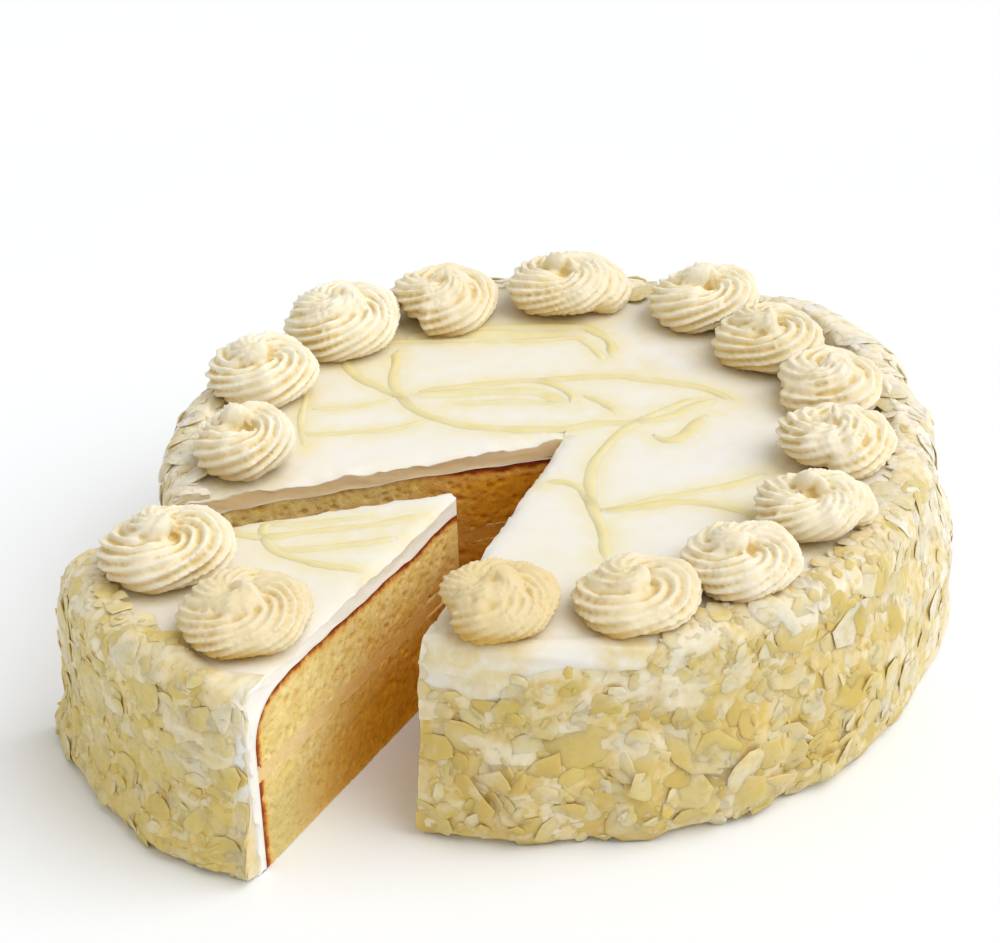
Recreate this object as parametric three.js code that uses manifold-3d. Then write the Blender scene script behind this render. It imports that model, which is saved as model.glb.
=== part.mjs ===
// Round two-layer cream cake with one slice cut and partly drawn out.
// Millimetres, +Z up, base on z = 0. Every body is a closed solid.
//
// Build-up, from the plate side upwards: lower sponge, cream filling, upper
// sponge, icing (one cap over the top and the side), a coat of thin white
// shards on the side, and a ring of piped swirl rosettes on the rim.

import * as THREE from 'three';
import { mergeVertices } from 'three/addons/utils/BufferGeometryUtils.js';
import Module from 'manifold-3d';

const wasm = await Module();
wasm.setup();

// ---------------------------------------------------------------- sizes, mm
const R_ICING = 115.0;        // outer radius of the iced side
const H_ICING = 58.5;         // height of the iced top
const R_CORNER = 7.0;         // rounding of the icing's top edge
const GAP = 0.3;              // clearance between neighbouring bodies

const R_SPONGE = 110.5;       // radius of both sponge layers
const Z_LOWER_TOP = 27.0;     // top of the lower sponge
const Z_FILL_TOP = 31.2;      // top of the cream filling
const Z_SPONGE_TOP = 52.2;    // top of the upper sponge
const R_SHOULDER = 14.0;      // baked shoulder of the upper sponge

const COAT_Z0 = 0.8;          // lowest edge of the shard coat
const COAT_T_TOP = 1.7;       // thickness of the coat on the upper side
const COAT_T_SWING = 1.0;     // how much the thickness jumps from shard to shard
const COAT_END_DEG = 56;      // how far the coat climbs round the icing's edge
const PILE_DEPTH = 16;        // height over which the coat thickens downwards
// The shards are piled up towards the foot. Round the cake: plan angle, height
// at which the pile starts, and the coat's thickness at the foot.
const COAT_PILE = [
  [-180, 46, 6.0], [-120, 46, 6.0], [-80, 36, 6.0], [-70, 16, 7.2], [-55, 18, 5.8],
  [-43, 20, 7.0], [-35, 22, 8.4], [-28, 20, 6.6], [-23, 18, 4.4], [-20, 30, 6.4],
  [-10, 33, 7.4], [-4, 34, 8.2], [4, 34, 5.8], [12, 35, 8.8], [17, 36, 7.0],
  [23, 38, 8.4], [32, 42, 5.4], [38, 43, 8.0], [46, 46, 6.4], [56, 48, 4.4],
  [66, 48, 3.6], [73, 49, 5.0], [79, 49, 6.0], [120, 48, 6.0], [180, 46, 6.0],
];
// Behind, on the right, shards are heaped on the rim against the rosettes: plan
// angle, and how much thicker the coat is there over the icing's top edge.
const RIM_HEAP = [[-180, 0], [84, 0], [104, 5.4], [118, 6.8], [130, 6.2], [151, 0], [180, 0]];

// The cut. Angles are measured from -Y towards +X, so negative is to the left.
const NOTCH_APEX = [4.2, 1.4];
const NOTCH_RIGHT_DEG = -20.0;
const NOTCH_LEFT_DEG = -73.4;

// The slice: its point, its two cut faces and the centre of its round side.
const SLICE_TIP = [-24.65, -27.45];
const SLICE_RIGHT_DEG = -27.9;
const SLICE_LEFT_DEG = -75.2;
const SLICE_CENTRE = [-28.96, -28.5];
const SLICE_TURN_DEG = -4.85;
const SLICE_BLUNT = 5.0;      // length lost at the crumbled point

// Where the cake's centre lies in the part's own frame, whose origin is the
// middle of the whole outline, on the table.
const CENTRE_X = 12.76;
const CENTRE_Y = 8.0;

// Rosettes on the cake: angle, distance from the centre, radius, height, start
// of the swirl. All sizes in mm and degrees.
const ROSETTES = [
  [-83.0, 89.0, 15.2, 19.5, 20],
  [-112.2, 95.5, 17.2, 17.2, 75],
  [-136.5, 95.5, 19.0, 18.6, 160],
  [-158.8, 91.3, 16.2, 16.7, 230],
  [175.0, 92.4, 20.0, 17.2, 300],
  [147.2, 94.6, 17.2, 17.6, 10],
  [126.1, 85.6, 15.9, 17.6, 95],
  [104.0, 87.4, 16.0, 14.8, 180],
  [79.2, 85.0, 16.6, 16.2, 250],
  [53.9, 90.7, 16.4, 17.2, 330],
  [32.6, 94.3, 16.6, 14.8, 45],
  [12.9, 98.0, 15.4, 12.9, 120],
  [-8.1, 98.2, 16.4, 15.2, 200],
];
// Rosettes on the slice: x and y of the centre, radius, height, swirl start.
const SLICE_ROSETTES = [
  [-105.4, -68.4, 17.4, 17.6, 60],
  [-80.8, -101.0, 16.2, 15.7, 140],
];
const RIDGES = 9;             // ridges left by the star-shaped nozzle
const RIDGE_TWIST_DEG = 31;   // how far a ridge leans round, ring to ring

const SEG = 72;               // steps round a full circle

// ----------------------------------------------------------------- helpers
const rad = (d) => (d * Math.PI) / 180;
const dirOf = (deg) => [Math.sin(rad(deg)), -Math.cos(rad(deg))];

function toManifold(geometry) {
  const g = geometry.clone();
  g.deleteAttribute('normal');
  g.deleteAttribute('uv');
  const m = mergeVertices(g, 1e-4);
  const vertProperties = new Float32Array(m.attributes.position.array);
  const triVerts = new Uint32Array(m.index.array);
  return new wasm.Manifold(new wasm.Mesh({ numProp: 3, vertProperties, triVerts }));
}

function toGeometry(manifold) {
  const mesh = manifold.getMesh();
  const n = mesh.numProp;
  const p = new Float32Array((mesh.vertProperties.length / n) * 3);
  for (let i = 0, j = 0; i < mesh.vertProperties.length; i += n, j += 3) {
    p[j] = mesh.vertProperties[i];
    p[j + 1] = mesh.vertProperties[i + 1];
    p[j + 2] = mesh.vertProperties[i + 2];
  }
  const g = new THREE.BufferGeometry();
  g.setAttribute('position', new THREE.BufferAttribute(p, 3));
  g.setIndex(new THREE.BufferAttribute(new Uint32Array(mesh.triVerts), 1));
  g.computeVertexNormals();
  return g;
}

// A turned solid from (radius, height) pairs that start and end on the axis.
function turned(profile) {
  const pts = profile.map(([r, z]) => new THREE.Vector2(r, z));
  const g = new THREE.LatheGeometry(pts, SEG);
  g.rotateX(Math.PI / 2);
  return g;
}

// Quarter-round points from the side (0 deg) up to the top (90 deg).
function quarter(rc, zc, r, steps) {
  const out = [];
  for (let i = 0; i <= steps; i++) {
    const a = (Math.PI / 2) * (i / steps);
    out.push([rc + r * Math.cos(a), zc + r * Math.sin(a)]);
  }
  return out;
}

// An upright prism over a plan outline given counter-clockwise.
function prism(outline, z0, z1) {
  const s = new THREE.Shape(outline.map(([x, y]) => new THREE.Vector2(x, y)));
  const g = new THREE.ExtrudeGeometry(s, { depth: z1 - z0, bevelEnabled: false });
  g.translate(0, 0, z0);
  return g;
}

// Wandering value between -1 and 1, the same on every run: a slow swell round
// the cake, and a jump from one shard to the next.
function wander(a, k, j) {
  const slow = Math.sin(7 * a + 1.3 + 0.5 * j) + Math.sin(13 * a + 4.1 - 0.9 * j);
  const jump = Math.sin(12.9898 * (k + 1) + 78.233 * (j + 1)) * 43758.5453;
  return 0.2 * slow + 0.6 * (2 * (jump - Math.floor(jump)) - 1);
}

// ------------------------------------------------------- whole-cake solids
const zc = H_ICING - R_CORNER;
const rc = R_ICING - R_CORNER;
const zs = Z_SPONGE_TOP - R_SHOULDER;
const rs = R_SPONGE - R_SHOULDER;

const spongeLower = turned([[0, 0], [R_SPONGE, 0], [R_SPONGE, Z_LOWER_TOP], [0, Z_LOWER_TOP]]);
const filling = turned([
  [0, Z_LOWER_TOP + GAP], [R_SPONGE, Z_LOWER_TOP + GAP],
  [R_SPONGE, Z_FILL_TOP], [0, Z_FILL_TOP],
]);
const spongeUpper = turned([
  [0, Z_FILL_TOP + GAP], [R_SPONGE, Z_FILL_TOP + GAP],
  ...quarter(rs, zs, R_SHOULDER, 3),
  [0, Z_SPONGE_TOP],
]);
// The cap of icing: outer wall and top, and inside it the sponge's room.
const icing = turned([
  [0, Z_SPONGE_TOP + GAP],
  ...quarter(rs, zs, R_SHOULDER + GAP, 3).reverse(),
  [R_SPONGE + GAP, 0],
  [R_ICING, 0],
  ...quarter(rc, zc, R_CORNER, 3),
  [0, H_ICING],
]);

// Values of a table at a plan angle, in a straight line from row to row.
function between(table, deg) {
  let i = 1;
  while (i < table.length - 1 && table[i][0] < deg) i += 1;
  const [p, q] = [table[i - 1], table[i]];
  const f = (deg - p[0]) / (q[0] - p[0]);
  return p.slice(1).map((v, n) => v + (q[n + 1] - v) * f);
}

// Thickness of the coat at a plan angle and a height.
function coatThickness(deg, z) {
  const [start, foot] = between(COAT_PILE, deg);
  const t = Math.min(Math.max((start - z) / PILE_DEPTH, 0), 1);
  return COAT_T_TOP + (foot - COAT_T_TOP) * t * t * (3 - 2 * t);
}

// The coat follows the icing's side and climbs round its top edge. Its outer
// outline wanders in and out like a layer of pressed-on shards.
function coat() {
  const path = [];             // points on the icing, with outward normal
  const rows = 4;
  for (let i = 0; i <= rows; i++) path.push([R_ICING, COAT_Z0 + (zc - COAT_Z0) * (i / rows), 1, 0]);
  for (let i = 1; i <= 2; i++) {
    const a = rad(COAT_END_DEG * (i / 2));
    path.push([rc + R_CORNER * Math.cos(a), zc + R_CORNER * Math.sin(a), Math.cos(a), Math.sin(a)]);
  }
  const n = path.length;
  const pos = [];
  const idx = [];
  for (let k = 0; k < SEG; k++) {
    const a = (2 * Math.PI * k) / SEG;
    for (let j = 0; j < n; j++) {
      const [r, z, nr, nz] = path[j];
      const taper = j === 0 ? 0.92 : j === n - 1 ? 0.4 : 1;
      const deg = ((360 * k) / SEG + 270) % 360 - 180;
      const mean = coatThickness(deg, z);
      const swing = Math.min(COAT_T_SWING, 0.5 * mean);
      const heap = j > rows ? 1 : j === rows ? 0.6 : 0;
      const t = GAP + taper * (mean + swing * wander(a, k, j)) + heap * between(RIM_HEAP, deg)[0];
      for (const d of [GAP, t]) {
        const q = r + nr * d;
        pos.push(q * Math.cos(a), q * Math.sin(a), z + nz * d);
      }
    }
  }
  const at = (k, j, o) => ((k % SEG) * n + j) * 2 + o;
  const quad = (a, b, c, d) => idx.push(a, b, c, a, c, d);
  for (let k = 0; k < SEG; k++) {
    for (let j = 0; j < n - 1; j++) {
      quad(at(k, j, 1), at(k + 1, j, 1), at(k + 1, j + 1, 1), at(k, j + 1, 1));
      quad(at(k, j, 0), at(k, j + 1, 0), at(k + 1, j + 1, 0), at(k + 1, j, 0));
    }
    quad(at(k, 0, 0), at(k + 1, 0, 0), at(k + 1, 0, 1), at(k, 0, 1));
    quad(at(k, n - 1, 1), at(k + 1, n - 1, 1), at(k + 1, n - 1, 0), at(k, n - 1, 0));
  }
  const g = new THREE.BufferGeometry();
  g.setAttribute('position', new THREE.BufferAttribute(new Float32Array(pos), 3));
  g.setIndex(idx);
  return g;
}

// A piped rosette: a rope of cream laid round once and lifted to a point in
// the middle. The nozzle's teeth leave sharp ridges that lean as they climb.
function rosette(radius, height, startDeg) {
  const ring = [               // share of radius, share of height, ridge depth
    [0.84, 0.00, 0.05],
    [1.00, 0.20, 0.08],
    [0.98, 0.42, 0.10],
    [0.82, 0.60, 0.12],
    [0.60, 0.68, 0.13],
    [0.49, 0.80, 0.14],
    [0.31, 0.95, 0.16],
    [0.12, 1.00, 0.10],
  ];
  const seg = RIDGES * 2;
  const pos = [];
  const idx = [];
  ring.forEach(([fr, fz, depth], j) => {
    for (let i = 0; i < seg; i++) {
      const turn = i / seg;
      const a = rad(startDeg) + 2 * Math.PI * turn + rad(RIDGE_TWIST_DEG) * j * 0.55;
      const ridge = i % 2 === 0 ? 1 : 1 - 2 * depth;
      const step = 1 + 0.05 * (turn - 0.5);      // the rope's own start and end
      const r = radius * fr * ridge * step;
      const lift = j === 0 ? 0 : 0.035 * height * (turn - 0.5);
      pos.push(r * Math.cos(a), r * Math.sin(a), height * fz + lift);
    }
  });
  const base = pos.length / 3;
  pos.push(0, 0, 0);
  pos.push(0.03 * radius, 0, height * 1.05);
  const rings = ring.length;
  const at = (j, i) => j * seg + (i % seg);
  for (let i = 0; i < seg; i++) {
    idx.push(base, at(0, i + 1), at(0, i));
    idx.push(base + 1, at(rings - 1, i), at(rings - 1, i + 1));
    for (let j = 0; j < rings - 1; j++) {
      idx.push(at(j, i), at(j, i + 1), at(j + 1, i + 1));
      idx.push(at(j, i), at(j + 1, i + 1), at(j + 1, i));
    }
  }
  const g = new THREE.BufferGeometry();
  g.setAttribute('position', new THREE.BufferAttribute(new Float32Array(pos), 3));
  g.setIndex(idx);
  g.computeVertexNormals();
  return g;
}

// ------------------------------------------------------------------- cuts
const FAR = 320;
const ray = ([x, y], deg, t) => [x + dirOf(deg)[0] * t, y + dirOf(deg)[1] * t];

// Plan of the removed wedge, counter-clockwise seen from above.
const notchPlan = [
  NOTCH_APEX,
  ray(NOTCH_APEX, NOTCH_LEFT_DEG, FAR),
  ray(NOTCH_APEX, (NOTCH_LEFT_DEG + NOTCH_RIGHT_DEG) / 2, FAR),
  ray(NOTCH_APEX, NOTCH_RIGHT_DEG, FAR),
];
const notch = toManifold(prism(notchPlan, -5, 90));

const bluntSide = (deg) => {
  const mid = (SLICE_LEFT_DEG + SLICE_RIGHT_DEG) / 2;
  return SLICE_BLUNT / Math.cos(rad(deg - mid));
};
const slicePlan = [
  ray(SLICE_TIP, SLICE_RIGHT_DEG, bluntSide(SLICE_RIGHT_DEG)),
  ray(SLICE_TIP, SLICE_LEFT_DEG, bluntSide(SLICE_LEFT_DEG)),
  ray(SLICE_TIP, SLICE_LEFT_DEG, FAR),
  ray(SLICE_TIP, SLICE_RIGHT_DEG, FAR),
];
const wedge = toManifold(prism(slicePlan, -5, 90));

function moved(geometry) {
  const g = geometry.clone();
  g.rotateZ(rad(SLICE_TURN_DEG));
  g.translate(SLICE_CENTRE[0], SLICE_CENTRE[1], 0);
  return g;
}

const LAYERS = [
  ['sponge_lower', spongeLower, 0xd9b45c, 0.95],
  ['cream_filling', filling, 0xf0dfae, 0.6],
  ['sponge_upper', spongeUpper, 0xd9b45c, 0.95],
  ['icing', icing, 0xf7f3e8, 0.45],
  ['shard_coat', coat(), 0xe6d9a4, 0.6],
];

const cake = new THREE.Group();
cake.position.set(CENTRE_X, CENTRE_Y, 0);

function add(name, geometry, colour, roughness) {
  const material = new THREE.MeshStandardMaterial({ color: colour, roughness, metalness: 0 });
  material.name = name;
  const mesh = new THREE.Mesh(geometry, material);
  mesh.name = name;
  cake.add(mesh);
  return mesh;
}

for (const [name, geometry, colour, roughness] of LAYERS) {
  add('main_' + name, toGeometry(toManifold(geometry).subtract(notch)), colour, roughness);
  add('slice_' + name, toGeometry(toManifold(moved(geometry)).intersect(wedge)), colour, roughness);
}

let count = 0;
function addRosette(x, y, radius, height, start) {
  count += 1;
  const name = 'rosette_' + String(count).padStart(2, '0');
  add(name, rosette(radius, height, start), 0xf1e6c8, 0.5).position.set(x, y, H_ICING + GAP);
}
for (const [deg, dist, radius, height, start] of ROSETTES) {
  const [dx, dy] = dirOf(deg);
  addRosette(dx * dist, dy * dist, radius, height, start);
}
for (const [x, y, radius, height, start] of SLICE_ROSETTES) addRosette(x, y, radius, height, start);

export default cake;
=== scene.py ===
"""Looks of the cut cream cake: sponge layers, filling, icing, drizzle, piped
rosettes and the coat of thin shards.

Shapes are worked out in millimetres about the cake's centre and moved into the
shared frame, in metres, when a mesh is made. Everything is seeded by numbers
in this file, so each run gives the same cake.
"""
import math

import bmesh
import bpy
import numpy as np
from mathutils import Matrix, Vector


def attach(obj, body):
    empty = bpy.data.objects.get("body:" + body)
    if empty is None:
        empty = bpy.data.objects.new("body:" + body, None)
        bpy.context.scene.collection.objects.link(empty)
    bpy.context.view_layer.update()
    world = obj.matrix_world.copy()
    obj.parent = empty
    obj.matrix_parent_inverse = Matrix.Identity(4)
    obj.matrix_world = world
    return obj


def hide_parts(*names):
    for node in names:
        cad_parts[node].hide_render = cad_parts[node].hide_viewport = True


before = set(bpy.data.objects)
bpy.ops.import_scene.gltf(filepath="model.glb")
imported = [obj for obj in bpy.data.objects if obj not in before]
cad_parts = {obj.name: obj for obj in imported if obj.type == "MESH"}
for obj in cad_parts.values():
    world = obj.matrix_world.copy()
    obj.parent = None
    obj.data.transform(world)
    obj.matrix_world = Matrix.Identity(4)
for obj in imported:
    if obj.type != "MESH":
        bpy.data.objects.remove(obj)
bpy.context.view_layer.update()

# ------------------------------------------------------------------ sizes, mm
R_ICING, H_ICING, R_CORNER = 115.0, 58.5, 7.0
R_SPONGE, R_SHOULDER = 110.5, 14.0
Z_LOWER_TOP, Z_FILL_TOP, Z_SPONGE_TOP = 27.0, 31.2, 52.2
COAT_Z0 = 0.8
CENTRE = np.array([12.76, 8.0, 0.0])

NOTCH_APEX = (4.2, 1.4)
NOTCH_RIGHT, NOTCH_LEFT = -20.0, -73.4
SLICE_TIP = (-24.65, -27.45)
SLICE_RIGHT, SLICE_LEFT = -27.9, -75.2
SLICE_CENTRE = (-28.96, -28.5)
SLICE_BLUNT = 5.0

RC, ZC = R_ICING - R_CORNER, H_ICING - R_CORNER        # middle of the icing's rounding
RS, ZS = R_SPONGE - R_SHOULDER, Z_SPONGE_TOP - R_SHOULDER


# ---------------------------------------------------------------------- noise
def hash01(ix, iy, iz, seed):
    with np.errstate(over="ignore"):
        h = (ix.astype(np.int64).astype(np.uint32) * np.uint32(0x8DA6B343)) ^ (
            iy.astype(np.int64).astype(np.uint32) * np.uint32(0xD8163841)) ^ (
            iz.astype(np.int64).astype(np.uint32) * np.uint32(0xCB1AB31F)) ^ np.uint32(
            (seed * 0x9E3779B1 + 0x7F4A7C15) & 0xFFFFFFFF)
        h ^= h >> np.uint32(15)
        h *= np.uint32(0x2C1B3C6D)
        h ^= h >> np.uint32(12)
        h *= np.uint32(0x297A2D39)
        h ^= h >> np.uint32(15)
    return h.astype(np.float64) / 4294967296.0


def vnoise(p, scale, seed=0):
    """Smooth value noise from -1 to 1."""
    q = np.asarray(p, float) / scale
    i = np.floor(q).astype(np.int64)
    f = q - i
    f = f * f * f * (f * (f * 6 - 15) + 10)
    out = np.zeros(len(q))
    for dx in (0, 1):
        wx = f[:, 0] if dx else 1 - f[:, 0]
        for dy in (0, 1):
            wy = f[:, 1] if dy else 1 - f[:, 1]
            for dz in (0, 1):
                wz = f[:, 2] if dz else 1 - f[:, 2]
                out += wx * wy * wz * hash01(i[:, 0] + dx, i[:, 1] + dy, i[:, 2] + dz, seed)
    return out * 2 - 1


def fbm(p, scale, seed=0, octaves=3, gain=0.5):
    total, amp, norm = 0.0, 1.0, 0.0
    for k in range(octaves):
        total = total + amp * vnoise(np.asarray(p) + 13.7 * k, scale / 2 ** k, seed + 11 * k)
        norm += amp
        amp *= gain
    return total / norm


def worley(p, scale, seed=0, flat=False):
    """Distances, in the same unit as p, to the nearest and second nearest
    scattered point, and a number from 0 to 1 for the nearest one."""
    q = np.asarray(p, float) / scale
    i = np.floor(q).astype(np.int64)
    f1 = np.full(len(q), 9.0)
    f2 = np.full(len(q), 9.0)
    who = np.zeros(len(q))
    for dx in (-1, 0, 1):
        for dy in (-1, 0, 1):
            for dz in ((0,) if flat else (-1, 0, 1)):
                c = i + np.array([dx, dy, dz])
                j = np.stack([hash01(c[:, 0], c[:, 1], c[:, 2], seed + s) for s in (1, 2, 3)], 1)
                d = c + j - q
                if flat:
                    d = d[:, :2]
                d = np.sqrt((d * d).sum(1))
                near = d < f1
                f2 = np.where(near, f1, np.minimum(f2, d))
                who = np.where(near, hash01(c[:, 0], c[:, 1], c[:, 2], seed + 9), who)
                f1 = np.where(near, d, f1)
    return f1 * scale, f2 * scale, who


def smooth01(x, lo=0.0, hi=1.0):
    t = np.clip((np.asarray(x, float) - lo) / (hi - lo), 0, 1)
    return t * t * (3 - 2 * t)


# ---------------------------------------------------------------- mesh making
class Build:
    """Vertices, faces (quads, or triangles with -1 last) and vertex values."""

    def __init__(self, *names):
        self.v, self.f, self.n = [], [], 0
        self.names = names
        self.a = {k: [] for k in names}

    def points(self, p, **values):
        p = np.asarray(p, float).reshape(-1, 3)
        at = self.n + np.arange(len(p))
        self.v.append(p)
        self.n += len(p)
        for k in self.names:
            x = np.asarray(values.get(k, 0.0), float)
            self.a[k].append(np.broadcast_to(x.reshape(-1) if x.size > 1 else x, (len(p),)).copy())
        return at

    def quads(self, ids, flip=False, wrap=False):
        """Faces over a grid of vertex numbers."""
        if wrap:
            ids = np.concatenate([ids, ids[:, :1]], 1)
        a, b, c, d = ids[:-1, :-1], ids[1:, :-1], ids[1:, 1:], ids[:-1, 1:]
        q = np.stack([a, d, c, b] if flip else [a, b, c, d], -1).reshape(-1, 4)
        self.f.append(q)

    def tris(self, t, flip=False):
        t = np.asarray(t, np.int64).reshape(-1, 3)
        if flip:
            t = t[:, ::-1]
        self.f.append(np.concatenate([t, np.full((len(t), 1), -1)], 1))

    def arrays(self, weld=True):
        v = np.concatenate(self.v)
        f = np.concatenate(self.f)
        a = {k: np.concatenate(x) for k, x in self.a.items()}
        if weld:
            key = np.round(v / 2e-4).astype(np.int64)
            _, first, inv = np.unique(key, axis=0, return_index=True, return_inverse=True)
            inv = inv.reshape(-1)
            v = v[first]
            a = {k: x[first] for k, x in a.items()}
            tri = f[:, 3] < 0
            f = np.where(f < 0, -1, inv[np.maximum(f, 0)])
            f = clean(f, tri)
        return v, f, a


def used(v, f, a):
    """Leaves out vertices that no face uses."""
    keep = np.zeros(len(v), bool)
    keep[f[f >= 0]] = True
    at = np.cumsum(keep) - 1
    return v[keep], np.where(f < 0, -1, at[np.maximum(f, 0)]), {k: x[keep] for k, x in a.items()}


def clean(f, tri):
    """Drops folded faces, and turns a quad with a shared corner into a triangle."""
    t = f[tri][:, :3]
    q = f[~tri]
    a, b, c, d = q.T
    m1, m2, m3, m4 = a == b, b == c, c == d, d == a
    bad = (a == c) | (b == d) | ((m1.astype(int) + m2 + m3 + m4) > 1)
    good = ~(m1 | m2 | m3 | m4) & ~bad
    parts = [t]
    for m, cols in ((m1, (0, 2, 3)), (m2, (0, 1, 3)), (m3, (0, 1, 2)), (m4, (0, 1, 2))):
        parts.append(q[m & ~bad][:, cols])
    t = np.concatenate(parts)
    t = t[(t[:, 0] != t[:, 1]) & (t[:, 1] != t[:, 2]) & (t[:, 0] != t[:, 2])]
    return np.concatenate([q[good], np.concatenate([t, np.full((len(t), 1), -1)], 1)])


def make(name, v, f, materials, values=None, replaces=(), outward=False, crease=None):
    me = bpy.data.meshes.new(name)
    faces = [r[:3] if r[3] < 0 else r for r in f.tolist()]
    me.from_pydata((((v + CENTRE) * 0.001)).tolist(), [], faces)
    if outward:
        bm = bmesh.new()
        bm.from_mesh(me)
        bmesh.ops.recalc_face_normals(bm, faces=bm.faces)
        bm.to_mesh(me)
        bm.free()
    me.polygons.foreach_set("use_smooth", np.ones(len(me.polygons), bool))
    for m in materials if isinstance(materials, (list, tuple)) else [materials]:
        me.materials.append(m)
    for k, x in (values or {}).items():
        at = me.attributes.new(k, "FLOAT", "POINT")
        at.data.foreach_set("value", np.asarray(x, np.float32))
    if crease:
        me.set_sharp_from_angle(angle=math.radians(crease))
    me.update()
    ob = bpy.data.objects.new(name, me)
    bpy.context.scene.collection.objects.link(ob)
    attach(ob, "root")
    if replaces:
        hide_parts(*replaces)
    return ob


def voxel(v, f, size):
    """One closed skin over a mesh that passes through itself."""
    me = bpy.data.meshes.new("tmp")
    me.from_pydata(v.tolist(), [], [r[:3] if r[3] < 0 else r for r in f.tolist()])
    ob = bpy.data.objects.new("tmp", me)
    bpy.context.scene.collection.objects.link(ob)
    mod = ob.modifiers.new("skin", "REMESH")
    mod.mode = "VOXEL"
    mod.voxel_size = size
    mod.adaptivity = 0.0
    dg = bpy.context.evaluated_depsgraph_get()
    ev = ob.evaluated_get(dg)
    m = ev.to_mesh()
    co = np.empty(len(m.vertices) * 3, np.float32)
    m.vertices.foreach_get("co", co)
    q = np.empty(len(m.loops), np.int32)
    m.loops.foreach_get("vertex_index", q)
    n = len(m.polygons)
    whole = len(q) == 4 * n
    out_f = q.reshape(-1, 4).astype(np.int64) if whole else None
    if not whole:
        rows = [list(p.vertices) + [-1] * (4 - len(p.vertices)) for p in m.polygons]
        out_f = np.array(rows, np.int64)
    ev.to_mesh_clear()
    bpy.data.objects.remove(ob)
    bpy.data.meshes.remove(me)
    return co.reshape(-1, 3).astype(float), out_f


def edges_of(f):
    tri = f[:, 3] < 0
    q, t = f[~tri], f[tri][:, :3]
    e = [q[:, [0, 1]], q[:, [1, 2]], q[:, [2, 3]], q[:, [3, 0]], t[:, [0, 1]], t[:, [1, 2]], t[:, [2, 0]]]
    e = np.sort(np.concatenate(e), 1)
    return np.unique(e, axis=0)


def relax(v, e, rounds, share=0.5):
    """Each vertex moves towards the mean of its neighbours."""
    n = len(v)
    deg = np.bincount(e[:, 0], minlength=n) + np.bincount(e[:, 1], minlength=n)
    deg = np.maximum(deg, 1)[:, None]
    p = v.copy()
    for _ in range(rounds):
        s = np.zeros_like(p)
        for k in range(p.shape[1]):
            s[:, k] = np.bincount(e[:, 0], p[e[:, 1], k], n) + np.bincount(e[:, 1], p[e[:, 0], k], n)
        p = p + share * (s / deg - p)
    return p


def normals_of(v, f):
    tri = f[:, 3] < 0
    q = np.where(f < 0, f[:, :1], f)
    n = np.cross(v[q[:, 2]] - v[q[:, 0]], v[q[:, 3]] - v[q[:, 1]])
    n[tri] = np.cross(v[q[tri, 1]] - v[q[tri, 0]], v[q[tri, 2]] - v[q[tri, 0]])
    out = np.zeros_like(v)
    for c in range(4):
        use = slice(None) if c < 3 else ~tri
        for k in range(3):
            out[:, k] += np.bincount(q[use, c], n[use, k], len(v))
    return out / np.maximum(np.linalg.norm(out, axis=1, keepdims=True), 1e-12)


# -------------------------------------------------------------- the cut discs
def heading(phi):
    """Plan direction: 0 is towards -Y, and it grows towards +X."""
    return np.stack([np.sin(phi), -np.cos(phi)], -1)


class Cut:
    """A round cake cut along two rays from a point near its middle."""
    BLEND = 60.0

    def __init__(self, centre, apex, a0, a1, blunt=0.0):
        self.o = np.array(centre, float)
        self.apex = np.array(apex, float)
        self.a = self.apex - self.o
        self.a0, self.a1 = math.radians(a0), math.radians(a1)
        self.mid = 0.5 * (self.a0 + self.a1)
        self.blunt = blunt
        # outward normals of the two cut faces
        self.n0 = -np.array([math.cos(self.a0), math.sin(self.a0)])
        self.n1 = np.array([math.cos(self.a1), math.sin(self.a1)])

    def reach(self, phi, r):
        """Distance along the ray from the apex to the circle of radius r."""
        ad = heading(phi) @ self.a
        return -ad + np.sqrt(np.maximum(ad * ad - self.a @ self.a + np.asarray(r, float) ** 2, 0))

    def along(self, phi, rho):
        rho = np.asarray(rho, float)
        start = self.blunt / math.cos(phi - self.mid) if self.blunt else 0.0
        inner = start + (self.reach(phi, self.BLEND) - start) * rho / self.BLEND
        return np.where(rho < self.BLEND, inner, self.reach(phi, np.maximum(rho, self.BLEND)))

    def xy(self, phi, rho):
        return self.apex + heading(phi) * self.along(phi, rho)[:, None]

    def rim_angle(self, phi, r):
        p = self.a + heading(np.array(phi)) * self.reach(np.array(phi), r)
        return math.atan2(p[0], -p[1])


MAIN = Cut((0.0, 0.0), NOTCH_APEX, NOTCH_RIGHT, NOTCH_LEFT + 360.0)
SLICE = Cut(SLICE_CENTRE, SLICE_TIP, SLICE_LEFT, SLICE_RIGHT, SLICE_BLUNT)


def spread(cut, steps, near=(0.12, 0.4, 0.9, 1.7)):
    """Angles over the piece, closer together beside the two cuts."""
    a, b = cut.a0, cut.a1
    near = [math.radians(x) for x in near]
    inner = np.linspace(a + near[-1] * 1.7, b - near[-1] * 1.7, steps)
    return np.array([a] + [a + x for x in near] + list(inner) + [b - x for x in near[::-1]] + [b])


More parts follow.
